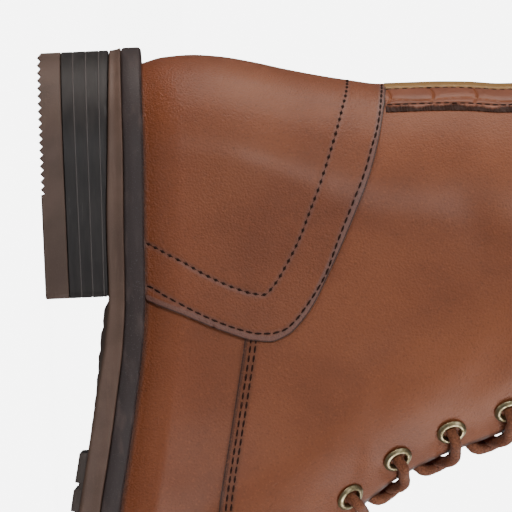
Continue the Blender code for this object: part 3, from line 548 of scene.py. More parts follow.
def rubber(name, colour, wear, roughness):
    """Moulded rubber: cloudy, scuffed in streaks along the edge, and speckled with dust."""
    finish = Finish(name, specular_ior_level=0.35)
    cloud = finish.noise(60, 4)
    scuffs = finish.noise(420, 5, (0.12, 1, 1), 0.65).within(0.52, 0.70)
    dust = finish.noise(2600, 2).within(0.56, 0.74)
    dull, bright = (tuple(share * c for c in colour) for share in (0.80, 1.14))
    tone = finish.mix(cloud.within(0.35, 0.65), dull, bright)
    tone = finish.mix(scuffs * 0.30 + dust * 0.22, tone, wear)
    finish.feed("Base Color", tone)
    finish.feed("Roughness", roughness + 0.18 * scuffs - 0.08 * cloud)
    finish.bump(finish.noise(1900, 4) + 0.8 * scuffs, 0.00005)
    return finish


LIFT_EDGE = 0.0004
LIFT_HEAD_EDGE = 0.0003
LIFT_TOOTH_HEAD = 0.0022
LIFT_TOOTH = ((0.0, 0.06), (0.03, 0.0), (0.10, 0.0), (0.13, 0.06), (0.36, 0.5), (0.585, 0.96), (0.60, 1.0))
lift_outline = sole_outline(WELT_REACH, HEEL_REACH - HEEL_INSET)
lift_inset = sole_outline(WELT_REACH - LIFT_EDGE, HEEL_REACH - HEEL_INSET)
lift_head = sole_outline(WELT_REACH - LIFT_HEAD_EDGE, HEEL_REACH - HEEL_INSET)
heel_back = lift_inset[0][0, 0] + 5e-5
tooth_places, tooth_depths = [heel_back], [RIB_DEPTH]
for tooth in range(int(RIBBED_LENGTH / RIB_PITCH)):
    start = heel_back + 0.00015 + RIB_PITCH * (tooth + 0.4)
    for share, depth in LIFT_TOOTH:
        tooth_places.append(start + share * RIB_PITCH)
        tooth_depths.append(depth * RIB_DEPTH)
smooth_places = np.linspace(tooth_places[-1] + LIFT_EDGE, HEEL_LENGTH - LIFT_EDGE, 30)
tooth_places = np.array([*tooth_places, *smooth_places])
tooth_depths = np.array([*tooth_depths, *np.zeros(len(smooth_places))])
stretch = (HEEL_LENGTH - heel_back + LIFT_EDGE) / (HEEL_LENGTH - LIFT_EDGE - heel_back)
wide_places = heel_back - LIFT_EDGE + (tooth_places - heel_back) * stretch
lift_rings = [
    (lift_inset, tooth_places, lambda x: tooth_depths),
    (lift_outline, wide_places, lambda x: tooth_depths * 0.75 + LIFT_EDGE),
    (lift_outline, wide_places, flat(LIFT_TOOTH_HEAD)),
    (lift_outline, wide_places, flat(TOP_LIFT_THICKNESS - LIFT_HEAD_EDGE)),
    (lift_head, wide_places, flat(TOP_LIFT_THICKNESS)),
]
lift_rubber = rubber("scoured lift rubber", (0.106, 0.067, 0.052), (0.17, 0.12, 0.095), 0.62)
stand(slab(lift_rings, corner=0.0010), "heel_lift", lift_rubber, "lift_rubber", "top_lift")

# Heel stack
# Four layers of black leather board, pegged together under the sole, trimmed, and waxed on the edge.
# The joints between the layers show as thin grooves, each with a painted highlight along its lip.
CLEARANCE = 0.0003
EDGE = table(
    "along thickness crown",
    (0.000, 0.577, 0.00), (0.190, 0.817, 0.00), (0.262, 0.780, 0.00), (0.272, 0.790, 0.90),
    (0.308, 0.873, 1.00), (0.370, 0.972, 0.35), (0.423, 1.000, 0.20), (0.500, 1.000, 0.00),
    (1.000, 1.000, 0.00),
)


def outsole_top(x):
    return feather(x) - WELT_THICKNESS - CLEARANCE


def outsole_bottom(x):
    share = curve(EDGE["along"], EDGE["thickness"], x / SOLE_LENGTH)
    return feather(x) - WELT_THICKNESS - share * OUTSOLE_THICKNESS


waxed = Finish("waxed stack leather", specular_ior_level=0.38)
fibres = waxed.noise(700, 4, (0.15, 0.15, 1))
rubbed = waxed.noise(90, 3, (1, 1, 2)).within(0.5, 0.75)
scratches = waxed.noise(520, 4, (0.10, 0.10, 1), 0.7).within(0.60, 0.72)
stack_tone = waxed.mix(fibres.within(0.35, 0.7), (0.013, 0.0105, 0.0105), (0.026, 0.0215, 0.021))
stack_tone = waxed.mix(rubbed * 0.25, stack_tone, (0.045, 0.038, 0.037))
stack_tone = waxed.mix(scratches * 0.35, stack_tone, (0.12, 0.11, 0.11))
groove_lip_highlight = waxed.carried("groove")
# The light line along each groove's lip is a painted highlight.
waxed.feed("Base Color", waxed.mix(groove_lip_highlight, stack_tone, (0.19, 0.165, 0.16)))
waxed.feed("Roughness", 0.44 + 0.2 * fibres)
waxed.bump(fibres, 0.00006)
stack_low = TOP_LIFT_THICKNESS + 0.0001
stack_head = float(outsole_bottom(np.array([HEEL_LENGTH]))[0]) - CLEARANCE - stack_low
stack_rings, stack_lip_highlights = [], []
STACK_LAYER = 0.32
STACK_LEAN = 0.0012
# One groove between two layers: how far in, how far up, and how light its painted highlight is
GROOVE = (
    (0.0, -0.00060, 0.0), (0.0, -0.00024, 0.0), (0.00018, -0.00012, 0.3), (0.00018, 0.0, 0.5),
    (0.0, 0.00012, 1.0), (0.0, 0.00026, 0.0), (0.0, 0.00062, 0.0),
)


def stack_ring(inset, height, mark=0.0):
    outline = sole_outline(WELT_REACH - inset, HEEL_REACH - HEEL_INSET)
    stack_rings.append((outline, stations(outline, 120, last=HEEL_LENGTH - inset), height))
    stack_lip_highlights.append(mark)


stack_ring(0.0004, flat(stack_low))
stack_ring(0.0, flat(stack_low + 0.0003))
for layer in (1, 2, 3):
    joint = stack_low + stack_head * STACK_LAYER * layer

    def slanted(rise, joint=joint, layer=layer):
        """The upper layers lean a little with the seat of the heel."""
        return lambda x: joint + rise + STACK_LEAN * (layer - 1) / 2 * (0.5 - x / HEEL_LENGTH)

    for inset, rise, mark in GROOVE:
        stack_ring(inset, slanted(rise), mark)
stack_ring(0.0, lambda x: outsole_bottom(x) - CLEARANCE - 0.0003)
stack_ring(0.0003, lambda x: outsole_bottom(x) - CLEARANCE + 0.0001)
stack_mesh = slab(stack_rings, corner=0.0008)
groove_layer = stack_mesh.verts.layers.float.new("groove")
for (_, places, height), mark in zip(stack_rings, stack_lip_highlights):
    if not mark:
        continue
    tree = kdtree.KDTree(len(places))
    for i, (x, z) in enumerate(zip(places, height(places))):
        tree.insert((x, 0, z), i)
    tree.balance()
    for vert in stack_mesh.verts:
        if tree.find((vert.co.x, 0, vert.co.z))[2] < 2e-5:
            vert[groove_layer] = mark
stand(stack_mesh, "stacked_heel", waxed, "stack_leather", "heel_stack")

# Outsole
# One moulded sole of brown rubber: a coved edge with a lip along the top, thin over the heel, a crowned
# shank of grey board in front of the breast, and a grooved tread pad under the forepart.
SHANK_CROWN = 0.0018
BAR_PITCH = 0.009
BAR_GROOVE = 0.0026
GROOVE_DEPTH = 0.0013
TREAD_INSET = 0.0040
TREAD_START, BAR_START, BAR_END = 0.423, 0.630, 0.714


def sole_ring(share, inset, cove, count=420):
    outline = sole_outline(WELT_REACH - inset, HEEL_REACH - HEEL_INSET * cove)
    return (
        outline,
        stations(outline, count),
        lambda x: outsole_top(x) + (outsole_bottom(x) - outsole_top(x)) * share,
    )


def shank(x, share):
    crown = curve(EDGE["along"], EDGE["crown"], x / SOLE_LENGTH) * SHANK_CROWN
    lumps = 1 + 0.10 * np.sin(x * 900) + 0.07 * np.sin(x * 1730 + 1)
    return crown * 4 * share * (1 - share) * lumps


sole_rubber = rubber("moulded sole rubber", (0.128, 0.076, 0.056), (0.22, 0.145, 0.115), 0.60)
sole_rings = [
    sole_ring(1.0, 0.0009, 1.0), sole_ring(0.965, 0.0004, 1.0), sole_ring(0.90, 0.00005, 1.0),
    sole_ring(0.82, 0.0, 0.97), sole_ring(0.74, 0.0001, 0.95), sole_ring(0.60, 0.00022, 0.85),
    sole_ring(0.42, 0.00022, 0.62), sole_ring(0.26, 0.0001, 0.35), sole_ring(0.14, 0.0, 0.12),
    sole_ring(0.05, 0.0, 0.08), sole_ring(0.0, 0.0004, 0.08),
]
outsole_mesh = slab(sole_rings, across=14, under=shank)
stand(outsole_mesh, "rubber_outsole", sole_rubber, "sole_rubber", "outsole")

tread_outline = sole_outline(WELT_REACH - TREAD_INSET)
tread_start, bar_start, bar_end = (share * SOLE_LENGTH for share in (TREAD_START, BAR_START, BAR_END))
tread_toe = tread_outline[0][-1, 0]
tread_places, tread_depths = list(np.linspace(tread_start, tread_start + BAR_PITCH / 2, 4)), [0.0] * 4
TREAD_GROOVE = ((0, 0), (0.04, 0.06), (0.15, 0.94), (0.2, 1), (0.8, 1), (0.85, 0.94), (0.96, 0.06), (1, 0))
for low, high in ((tread_start + BAR_PITCH / 2, bar_start - BAR_GROOVE), (bar_end, tread_toe - BAR_PITCH)):
    for bar in range(int((high - low) / BAR_PITCH)):
        start = low + BAR_PITCH * (bar + 0.5)
        for share, depth in TREAD_GROOVE:
            tread_places.append(start + share * BAR_GROOVE)
            tread_depths.append(depth * GROOVE_DEPTH)
        tread_places.append(start + (BAR_PITCH + BAR_GROOVE) / 2)
        tread_depths.append(0.0)
    if low < bar_start:
        bar_places = np.linspace(bar_start + BAR_GROOVE, bar_end - BAR_GROOVE, 12)
        tread_places += list(bar_places)
        tread_depths += [0.0] * len(bar_places)
nose_share = np.sin(math.pi / 2 * np.linspace(0, 1, 26))[1:]
nose = tread_places[-1] + (tread_toe - 5e-5 - tread_places[-1]) * nose_share
tread_places, tread_depths = np.array([*tread_places, *nose]), np.array([*tread_depths, *np.zeros(len(nose))])
tread_wide = sole_outline(WELT_REACH - TREAD_INSET + 0.0008)


def tread_ring(outline, drop, grooved):
    return (
        outline,
        np.minimum(tread_places, outline[0][-1, 0] - 2e-5),
        lambda x: outsole_bottom(x) - TREAD_THICKNESS * drop + tread_depths * grooved,
    )


tread_rings = [
    tread_ring(sole_outline(WELT_REACH - TREAD_INSET - 0.0005), 1.0, 1.0),
    tread_ring(tread_outline, 0.85, 0.85),
    tread_ring(tread_wide, 0.0, 0.0),
    tread_ring(tread_wide, -0.5, 0.0),
]
tread_rubber = rubber("tread rubber", (0.100, 0.078, 0.070), (0.20, 0.17, 0.155), 0.6)
stand(slab(tread_rings, across=6), "tread_pad", tread_rubber, "sole_rubber", "outsole")

# Welt
# A black leather strip around the whole boot, sewn to the upper and through the sole. Its top edge is
# wheeled, so small notches stand along the leather, and its side is dyed, waxed and matte.


WHEEL_PITCH = 0.00155


def welt_ring(inset, drop, notch=0.0):
    """One ring of the welt: how far in, how far down as a share of its thickness, and its notches' depth."""
    outline = sole_outline(WELT_REACH - inset, HEEL_REACH)
    places = stations(outline, 1100)

    def height(x):
        run = np.concatenate([[0], np.cumsum(np.hypot(np.diff(x), np.diff(np.interp(x, *outline[0].T))))])
        wheeled = notch * (0.5 + 0.5 * np.sin(run * 2 * math.pi / WHEEL_PITCH))
        return feather(x) - WELT_THICKNESS * drop - wheeled

    return outline, places, height


welt_leather = Finish("dyed welt leather", specular_ior_level=0.35)
specks = welt_leather.noise(2400, 3).within(0.60, 0.72)
smears = welt_leather.noise(260, 4, (0.3, 0.3, 1)).within(0.48, 0.72)
welt_tone = welt_leather.mix(smears, (0.042, 0.0290, 0.0285), (0.090, 0.064, 0.060))
welt_leather.feed("Base Color", welt_leather.mix(specks * 0.4, welt_tone, (0.14, 0.125, 0.13)))
welt_leather.feed("Roughness", 0.55 + 0.22 * smears)
welt_leather.bump(welt_leather.noise(1500, 4) + specks, 0.00006)
welt_rings = [
    welt_ring(0.0006, 1.02), welt_ring(0.0002, 0.96), welt_ring(0.0, 0.90), welt_ring(0.0, 0.50),
    welt_ring(0.0, 0.20), welt_ring(0.0001, 0.09), welt_ring(0.0004, 0.03, 0.00030),
    welt_ring(0.0009, -0.02, 0.00036), welt_ring(0.0020, -0.03, 0.00030), welt_ring(0.0034, 0.0, 0.00010),
    welt_ring(0.0050, 0.02),
]
stand(slab(welt_rings), "storm_welt", welt_leather, "welt_leather", "welt")

# Upper
# Brown calf on a last: a vamp over the toes, two quarters lapped over it with facings for the lace, and a
# full lining. All of them are cut flat, sewn, then pulled over the last, so they share its surface.
WALL = 0.0018
QUARTER_STEP = 0.0009
LINING_DEPTH = 0.0005
VAMP_END = 0.577
ROW_SPLIT = 9
WALL_COLUMNS = 96
SEAM_TUCK = 0.0006
QUARTER_EDGE = table(
    "along height",
    (0.288, 0.212), (0.350, 0.208), (0.440, 0.204), (0.500, 0.204), (0.540, 0.213), (0.570, 0.240),
    (0.586, 0.290), (0.588, 0.345), (0.582, 0.410), (0.577, 0.520),
)
COUNTER_EDGE = table(
    "along height",
    (0.257, -0.040), (0.276, 0.048), (0.301, 0.158), (0.313, 0.226), (0.3155, 0.264), (0.309, 0.300),
    (0.289, 0.337), (0.243, 0.385), (0.193, 0.431), (0.140, 0.472), (0.092, 0.496), (0.052, 0.509),
    (-0.060, 0.515),
)

# Soft troughs and ridges of the worn-in leather, in millimetres in the side view: depth, width, then points
CREASES = (
    (-0.55, 5.5, (118, 74), (106, 86), (96, 96), (82, 102)),
    (0.35, 6.0, (124, 84), (112, 96), (100, 106), (86, 112)),
    (-0.45, 6.0, (126, 98), (112, 108), (98, 118), (84, 122)),
    (-0.35, 7.0, (40, 92), (52, 100), (64, 106), (78, 108)),
    (0.30, 7.0, (34, 104), (48, 112), (64, 118), (80, 118)),
    (-0.30, 5.0, (120, 116), (108, 128), (94, 136)),
    (-0.40, 5.0, (196, 20), (190, 34), (182, 44), (176, 52)),
    (0.30, 5.0, (205, 20), (200, 32), (193, 42), (186, 50)),
    (-0.42, 4.5, (214, 20), (210, 30), (204, 40), (196, 50)),
    (-0.25, 6.0, (150, 12), (140, 22), (128, 30)),
    (-0.40, 7.0, (112, 60), (100, 70), (90, 80), (80, 84)),
)
# The round swelling of the stiffener, in the same millimetres: height, width and place
SWELLING = (1.10, 17.0, 39, 33)
# The lace pulls the facing down beside each eyelet, so a small hollow runs from it to the facing's edge
EYELET_PAIRS = 6
HOLLOW_DEPTH, HOLLOW_WIDTH = -0.50, 2.5
HOLLOW_START, HOLLOW_END = (1.6, -3.5), (6.2, -1.6)
for pair in range(1, EYELET_PAIRS + 1):
    low_corner, high_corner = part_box(f"eyelet_{pair}_outer")
    ring_x = (low_corner[0] + high_corner[0]) / 2 - BOOT_SHIFT[0]
    ring_height = (low_corner[2] + high_corner[2]) / 2 - float(feather(np.array([ring_x]))[0])
    hollow = [(ring_x / MM + dx, ring_height / MM + dh) for dx, dh in (HOLLOW_START, HOLLOW_END)]
    CREASES += ((HOLLOW_DEPTH, HOLLOW_WIDTH, *hollow),)


def edge_line(edge, count):
    """Places and heights in the side view along an overlay's edge."""
    rows = np.arange(len(edge["along"]), dtype=float)
    at = np.linspace(0, len(rows) - 1, count)
    return curve(rows, edge["along"], at) * SOLE_LENGTH, curve(rows, edge["height"], at) * SHAFT_HEIGHT


def relief(points, side):
    """How far the leather stands out or sinks in at each point: creases, the stiffener and slow waves."""
    x = points[..., 0] / MM
    height = (points[..., 2] - feather(points[..., 0])) / MM
    total = np.zeros_like(x)
    for depth, width, *way in CREASES:
        way = np.array(way, float)
        t = np.linspace(0, len(way) - 1, 28)
        path = np.stack([curve(np.arange(len(way), dtype=float), way[:, i], t) for i in (0, 1)], -1)
        fade = np.sin(math.pi * np.linspace(0.06, 0.94, 28))
        best, share = np.full_like(x, 1e9), np.zeros_like(x)
        for (px, ph), strength in zip(path, fade):
            gap = np.hypot(x - px, height - ph)
            share = np.where(gap < best, strength, share)
            best = np.minimum(best, gap)
        total += depth * share * np.exp(-((best / width) ** 2))
    size, width, middle_x, middle_height = SWELLING
    total += size * np.exp(-((x - middle_x) ** 2 + (height - middle_height) ** 2) / width ** 2)
    waves = np.sin(x * 0.11 + height * 0.05) * np.sin(height * 0.09 - x * 0.03)
    aside = smoothstep(np.abs(points[..., 1] - axis(points[..., 0])) / 0.02)
    return (total * (1.0 if side == OUTER else 1 - 0.2 * aside) + 0.10 * waves) * MM


def inside(outline, x, height):
    """Whether places in the side view are inside an outline."""
    found = np.zeros(x.shape, bool)
    ox, oh = outline
    for i in range(len(ox)):
        j = i - 1
        crosses = (oh[i] > height) != (oh[j] > height)
        at = (ox[j] - ox[i]) * (height - oh[i]) / (oh[j] - oh[i] + 1e-12) + ox[i]
        found ^= crosses & (x < at)
    return found


def fan_rows(split, first, last):
    """Heights on the front line at which the rows of a grid start, closer together where the wall turns."""
    steps = np.concatenate([[0], np.cumsum(FAN["steps"][1:])])
    rows = np.interp(np.linspace(0, steps[-1], int(steps[-1]) * split + 1), steps, FAN["front"])
    return rows[(rows >= first - 1e-9) & (rows <= last + 1e-9)]


def wall_grid(side, split=ROW_SPLIT, columns=WALL_COLUMNS, open_throat=True, first=0.0, last=1.0):
    """A fine grid of points over one side of the last, from the front line or the facing to the base."""
    rows = fan_rows(split, first, last)
    share = (1 - np.cos(np.linspace(0, math.pi, columns + 1))) / 2
    share = 0.35 * share + 0.65 * np.linspace(0, 1, columns + 1)
    gap = throat_gap(rows) if open_throat else np.zeros_like(rows)
    start = np.where(gap > 0, along_line(rows, side, gap), 0)[:, None]
    return on_last(rows[:, None], side, start + (1 - start) * share)


def line_tree(lines):
    """A search tree over points of one or more lines in space."""
    points = np.concatenate(lines)
    tree = kdtree.KDTree(len(points))
    for i, point in enumerate(points):
        tree.insert(point, i)
    tree.balance()
    return tree, points


PANEL_WORDS = ("edge", "seam", "low", "middle")
FAR = 0.05
CUT_REACH = 0.003
ROUNDING, ROUNDING_WIDTH = 0.00038, 0.0016
SINKING, SINKING_WIDTH = 0.00022, 0.0007
FACING_SOFTNESS = 0.4
FACING_REACH, FACING_FROM = 0.0145, 0.09


def panel(parts):
    """One sheet of leather from parts of (side, grid, kept, edge lines, stitch lines, top, bottom).

    Points at the cut are drawn onto the edge line, the edge is rounded, and rows of stitches sink in.
    """
    whole = bmesh.new()
    for word in PANEL_WORDS:
        whole.verts.layers.float.new(word)
    for side, grid, kept, edges, seams, top, bottom in parts:
        rows, columns = grid.shape[:2]
        near_cut = np.zeros_like(kept)
        padded = np.pad(kept, 1, mode="edge")
        for di in (0, 1, 2):
            for dj in (0, 1, 2):
                near_cut |= ~padded[di:di + rows, dj:dj + columns]
        near_cut &= kept
        base = grid.copy()
        edge_gap = np.full(kept.shape, FAR)
        seam_gap = np.full(kept.shape, FAR)
        if edges:
            tree, spots = line_tree(edges)
            for i, j in zip(*np.nonzero(kept)):
                _, index, gap = tree.find(base[i, j])
                if near_cut[i, j] and gap < CUT_REACH:
                    base[i, j] = spots[index]
                    gap = 0.0
                edge_gap[i, j] = gap
        if seams:
            tree, _ = line_tree(seams)
            for i, j in zip(*np.nonzero(kept)):
                seam_gap[i, j] = tree.find(base[i, j])[2]
        at_facing = (np.abs(base[..., 1] - axis(base[..., 0])) < FACING_REACH) & (base[..., 0] > FACING_FROM)
        edge_gap = np.where(at_facing, FACING_SOFTNESS * edge_gap, edge_gap)
        rounding = ROUNDING * np.clip(1 - edge_gap / ROUNDING_WIDTH, 0, 1) ** 2
        sinking = SINKING * np.exp(-((seam_gap / SINKING_WIDTH) ** 2))
        normals = outward(base, side)
        shape = relief(base, side)
        skins = []
        middle = np.abs(base[..., 1] - axis(base[..., 0])) < 1e-7
        for distance in (top - rounding - sinking, bottom):
            skin = base + normals * (distance + shape)[..., None]
            floor_line = feather(skin[..., 0]) - 0.0002
            skin[..., 2] = np.maximum(skin[..., 2], floor_line)
            skin[..., 1] = np.where(middle, axis(skin[..., 0]), skin[..., 1])
            skins.append(skin)
        for skin, outside in zip(skins, (True, False)):
            bm = bmesh.new()
            bmesh.ops.create_grid(bm, x_segments=columns - 1, y_segments=rows - 1, size=0.5)
            layers = [bm.verts.layers.float.new(word) for word in PANEL_WORDS]
            heights = base[..., 2] - feather(base[..., 0])
            flat_values = [values.reshape(-1) for values in (edge_gap, seam_gap, heights, middle * 1.0)]
            doomed = []
            for index, (vert, point, stays) in enumerate(
                zip(list(bm.verts), skin.reshape(-1, 3), kept.reshape(-1))
            ):
                vert.co = point
                for layer, values in zip(layers, flat_values):
                    vert[layer] = values[index]
                if not stays:
                    doomed.append(vert)
            bmesh.ops.delete(bm, geom=doomed, context="VERTS")
            loose = [vert for vert in bm.verts if not vert.link_faces]
            bmesh.ops.delete(bm, geom=loose, context="VERTS")
            if (side == OUTER) == outside:
                bmesh.ops.reverse_faces(bm, faces=bm.faces)
            mesh = bpy.data.meshes.new("skin")
            bm.to_mesh(mesh)
            bm.free()
            first = len(whole.verts)
            whole.from_mesh(mesh)
            bpy.data.meshes.remove(mesh)
            whole.verts.ensure_lookup_table()
            whole.verts.index_update()
            if outside:
                start_of_top = first
            else:
                close_rim(whole, start_of_top, first, len(whole.verts) - first)
    bmesh.ops.remove_doubles(whole, verts=whole.verts, dist=4e-6)
    return whole


def close_rim(bm, first_top, first_bottom, count):
    """Faces between the matching open borders of an outer skin and an inner skin."""
    rim = []
    on_top = range(first_top, first_top + count)
    middle = bm.verts.layers.float["middle"]
    for edge in bm.edges:
        if edge.verts[0][middle] > 0.5 and edge.verts[1][middle] > 0.5:
            continue
        a, b = edge.verts[0].index, edge.verts[1].index
        if len(edge.link_faces) == 1 and a in on_top and b in on_top:
            rim.append((edge, a, b))
    shift = first_bottom - first_top
    for edge, a, b in rim:
        if edge.link_loops[0].vert.index != a:
            a, b = b, a
        bm.faces.new([bm.verts[k] for k in (b, a, a + shift, b + shift)])


DARK_EDGE = (0.028, 0.011, 0.007)
# Colour of the painted shadow in the crease where the upper meets the welt
PAINTED_WELT_SHADOW = (0.03, 0.012, 0.007)


def leather(name, low_tone, tone, high_tone, edge_tone, gloss=0.44, band=0.0014):
    """Burnished calf: clouded tone, dark along edges and seams, with a painted shadow along the welt, fine
    grain and pores.

    Band is the width of the other tone along a cut edge.
    """
    finish = Finish(name, specular_ior_level=0.34, coat_roughness=0.30)
    edge, seam, low = (finish.carried(word) for word in ("edge", "seam", "low"))
    cloud = finish.noise(26, 4, (1, 1, 1), 0.55)
    streak = finish.noise(150, 4, (1, 1, 0.5), 0.6)
    pores = finish.cells(1500)
    pebble = finish.noise(1300, 3, (1, 1, 1), 0.6)
    share = (cloud * 0.75 + streak * 0.25).within(0.34, 0.66)
    colour = finish.mix(share, low_tone, tone)
    colour = finish.mix(finish.noise(15, 2).within(0.48, 0.70) * 0.55, colour, high_tone)
    warm_foot = tuple(c * k for c, k in zip(tone, (1.02, 0.82, 0.62)))
    colour = finish.mix(low.within(0.030, 0.002) * 0.45, colour, warm_foot)
    # Painted shadow: dark within two millimetres of the welt, in the crease where the upper meets it.
    colour = finish.mix(low.within(0.0018, 0.0003) * 0.70, colour, PAINTED_WELT_SHADOW)
    colour = finish.mix(seam.within(0.0016, 0.0002) * 0.35, colour, edge_tone)
    colour = finish.mix(edge.within(band, band * 0.6) * 0.72, colour, edge_tone)
    colour = finish.mix(edge.within(0.0006, 0.0002) * 0.80, colour, DARK_EDGE)
    colour = finish.mix(pebble.within(0.43, 0.31) * 0.32, colour, tuple(0.5 * c for c in low_tone))
    colour = finish.mix(pebble.within(0.55, 0.69) * 0.22, colour, tuple(1.35 * c for c in high_tone))
    finish.feed("Base Color", colour)
    finish.feed("Roughness", gloss + 0.10 * streak + 0.10 * pebble - 0.05 * cloud)
    finish.feed("Coat Weight", 0.06 + 0.10 * cloud)
    grain = pores * 0.9 + pebble * 1.6 + finish.noise(520, 2) * 0.3
    finish.bump(grain, 0.00016)
    return finish


calf = leather(
    "burnished calf",
    (0.205, 0.057, 0.020),
    (0.270, 0.080, 0.029),
    (0.335, 0.108, 0.044),
    (0.060, 0.020, 0.011),
)
seam_x, seam_h = edge_line(QUARTER_EDGE, 260)
counter_x, counter_h = edge_line(COUNTER_EDGE, 320)
seam_z = feather(seam_x) + seam_h
counter_z = feather(counter_x) + counter_h
hidden = counter_z < seam_z[0] - SEAM_TUCK
hidden_x, hidden_z = counter_x[hidden] - SEAM_TUCK, counter_z[hidden]
front = SOLE_LENGTH * 1.1
vamp_outline = (
    np.array([*hidden_x, *seam_x, front, front, hidden_x[0]]),
    np.array([*hidden_z, *seam_z, seam_z[-1], -0.01, -0.01]),
)


def beside(line_x, line_h, distance, side):
    """A line on the last that runs beside an edge, this far up or back from it in the side view."""
    dx, dh = np.gradient(line_x), np.gradient(line_h)
    length = np.hypot(dx, dh)
    x, h = line_x - dh / length * distance, line_h + dx / length * distance
    good = (h > 0.0005) & (x > back_x(h) + 1e-5) & (x < ridge_x(np.maximum(h, 0)) - 1e-5)
    return in_side_view(x[good], h[good], side)


SEAM_ROWS = (0.0021, 0.0037)
VAMP_LAP, VAMP_LAP_RISE = 0.003, 0.004
LINING_GAP = 0.00005
vamp_x, vamp_z = vamp_outline
vamp_cut = (np.where(vamp_x < front, vamp_x - VAMP_LAP, vamp_x), vamp_z + VAMP_LAP_RISE)
quarter_parts, vamp_parts, lining_parts = [], [], []
for side in (OUTER, INNER):
    grid = wall_grid(side)
    rows = np.linspace(THROAT_START + 0.016, 1.0, 500)
    facing = on_last(rows, side, along_line(rows, side, throat_gap(rows)))
    collar_start = float(along_line(np.array([1.0]), side, throat_gap(np.array([1.0])))[0])
    collar = on_last(np.full(300, 1.0), side, np.linspace(collar_start, 1, 300))
    edges = [beside(seam_x, seam_h, 0.0, side), facing, collar]
    seams = [beside(seam_x, seam_h, gap, side) for gap in SEAM_ROWS]
    in_quarter = ~inside(vamp_outline, grid[..., 0], grid[..., 2])
    quarter_parts.append((side, grid, in_quarter, edges, seams, QUARTER_STEP, -LINING_DEPTH))
    grid = wall_grid(side, last=VAMP_END)
    vamp_parts.append((side, grid, inside(vamp_cut, grid[..., 0], grid[..., 2]), [], [], 0.0, -LINING_DEPTH))
    grid = wall_grid(side, 4, 40)
    whole_grid = np.ones(grid.shape[:2], bool)
    lining_parts.append((side, grid, whole_grid, [facing, collar], [], -LINING_DEPTH - LINING_GAP, -WALL))
stand(panel(quarter_parts), "quarters", calf, "upper_leather", "upper")
stand(panel(vamp_parts), "vamp", calf, "upper_leather", "upper")
lining_leather = leather(
    "lining leather",
    (0.36, 0.21, 0.115),
    (0.43, 0.26, 0.15),
    (0.50, 0.32, 0.20),
    (0.20, 0.10, 0.05),
    gloss=0.6,
)
stand(panel(lining_parts), "lining", lining_leather, "insole_leather", "upper")

# Tongue and insole
# The tongue is one soft piece of calf under the facings, sewn to the vamp at its foot and free above.
# The insole is a board of natural leather that closes the bottom of the boot, darkened where the foot rubs.
TONGUE_GAP = 0.0009
TONGUE_THICKNESS = 0.0016
TONGUE_WIDTH = 0.050
TONGUE_STAND = 0.008
TONGUE_TAPER = 0.75
TONGUE_TUCK = 0.0026
INSOLE_THICKNESS = 0.0035
INSOLE_GAP = 0.0008


def over_throat(front, y, lift):
    """Points over the throat: this far from the middle line, and this far out from the last."""
    front, y, lift = np.broadcast_arrays(np.asarray(front, float), y, lift)
    points = np.empty((*front.shape, 3))
    for side in (OUTER, INNER):
        here = (y <= 0) if side == OUTER else (y > 0)
        if here.any():
            reach = np.abs(y[here])
            share = np.where(reach > 1e-7, along_line(front[here], side, reach), 0)
            base = on_last(front[here], side, share)
            points[here] = base + outward(base, side) * lift[here][:, None]
    return points


def closed_sheet(top, bottom):
    """A sheet of some thickness between two grids of points, closed round its border."""
    rows, columns = top.shape[:2]
    bm = bmesh.new()
    for grid in (top, bottom):
        begin = len(bm.verts)
        bmesh.ops.create_grid(bm, x_segments=columns - 1, y_segments=rows - 1, size=0.5)
        bm.verts.ensure_lookup_table()
        for vert, point in zip(bm.verts[begin:], grid.reshape(-1, 3)):
            vert.co = point
    border = [edge for edge in bm.edges if edge.is_boundary]
    bmesh.ops.bridge_loops(bm, edges=border)
    bmesh.ops.recalc_face_normals(bm, faces=bm.faces)
    if bm.calc_volume(signed=True) < 0:
        bmesh.ops.reverse_faces(bm, faces=bm.faces)
    return bm


tongue_top = 1.0 + TONGUE_STAND / SHAFT_HEIGHT
tongue_rows = np.linspace(THROAT_START - 0.03, tongue_top, 170)[:, None]
tongue_share = TONGUE_TAPER + (1 - TONGUE_TAPER) * smoothstep((tongue_rows - THROAT_START) / 0.3)
tongue_y = TONGUE_WIDTH / 2 * tongue_share * np.linspace(-1, 1, 56)
tucked = smoothstep((np.abs(tongue_y) - throat_gap(tongue_rows) + 0.002) / 0.006)
standing = smoothstep((tongue_rows - 0.97) / 0.06)
tongue_folds = 0.00035 * np.sin(tongue_rows * 37 + tongue_y * 90) * (1 - tucked)
tongue_folds += 0.0002 * np.sin(tongue_y * 420)
tongue_lift = -WALL - TONGUE_GAP - TONGUE_TUCK * tucked * (1 - standing) + tongue_folds
tongue_mesh = closed_sheet(
    over_throat(tongue_rows, tongue_y, tongue_lift),
    over_throat(tongue_rows, tongue_y, tongue_lift - TONGUE_THICKNESS),
)
for word in ("edge", "seam", "low"):
    layer = tongue_mesh.verts.layers.float.new(word)
    for vert in tongue_mesh.verts:
        vert[layer] = FAR
tongue_calf = leather(
    "tongue calf",
    (0.165, 0.047, 0.018),
    (0.22, 0.066, 0.026),
    (0.28, 0.092, 0.040),
    (0.05, 0.018, 0.010),
    gloss=0.5,
)
stand(tongue_mesh, "soft_tongue", tongue_calf, "tongue_leather", "tongue")

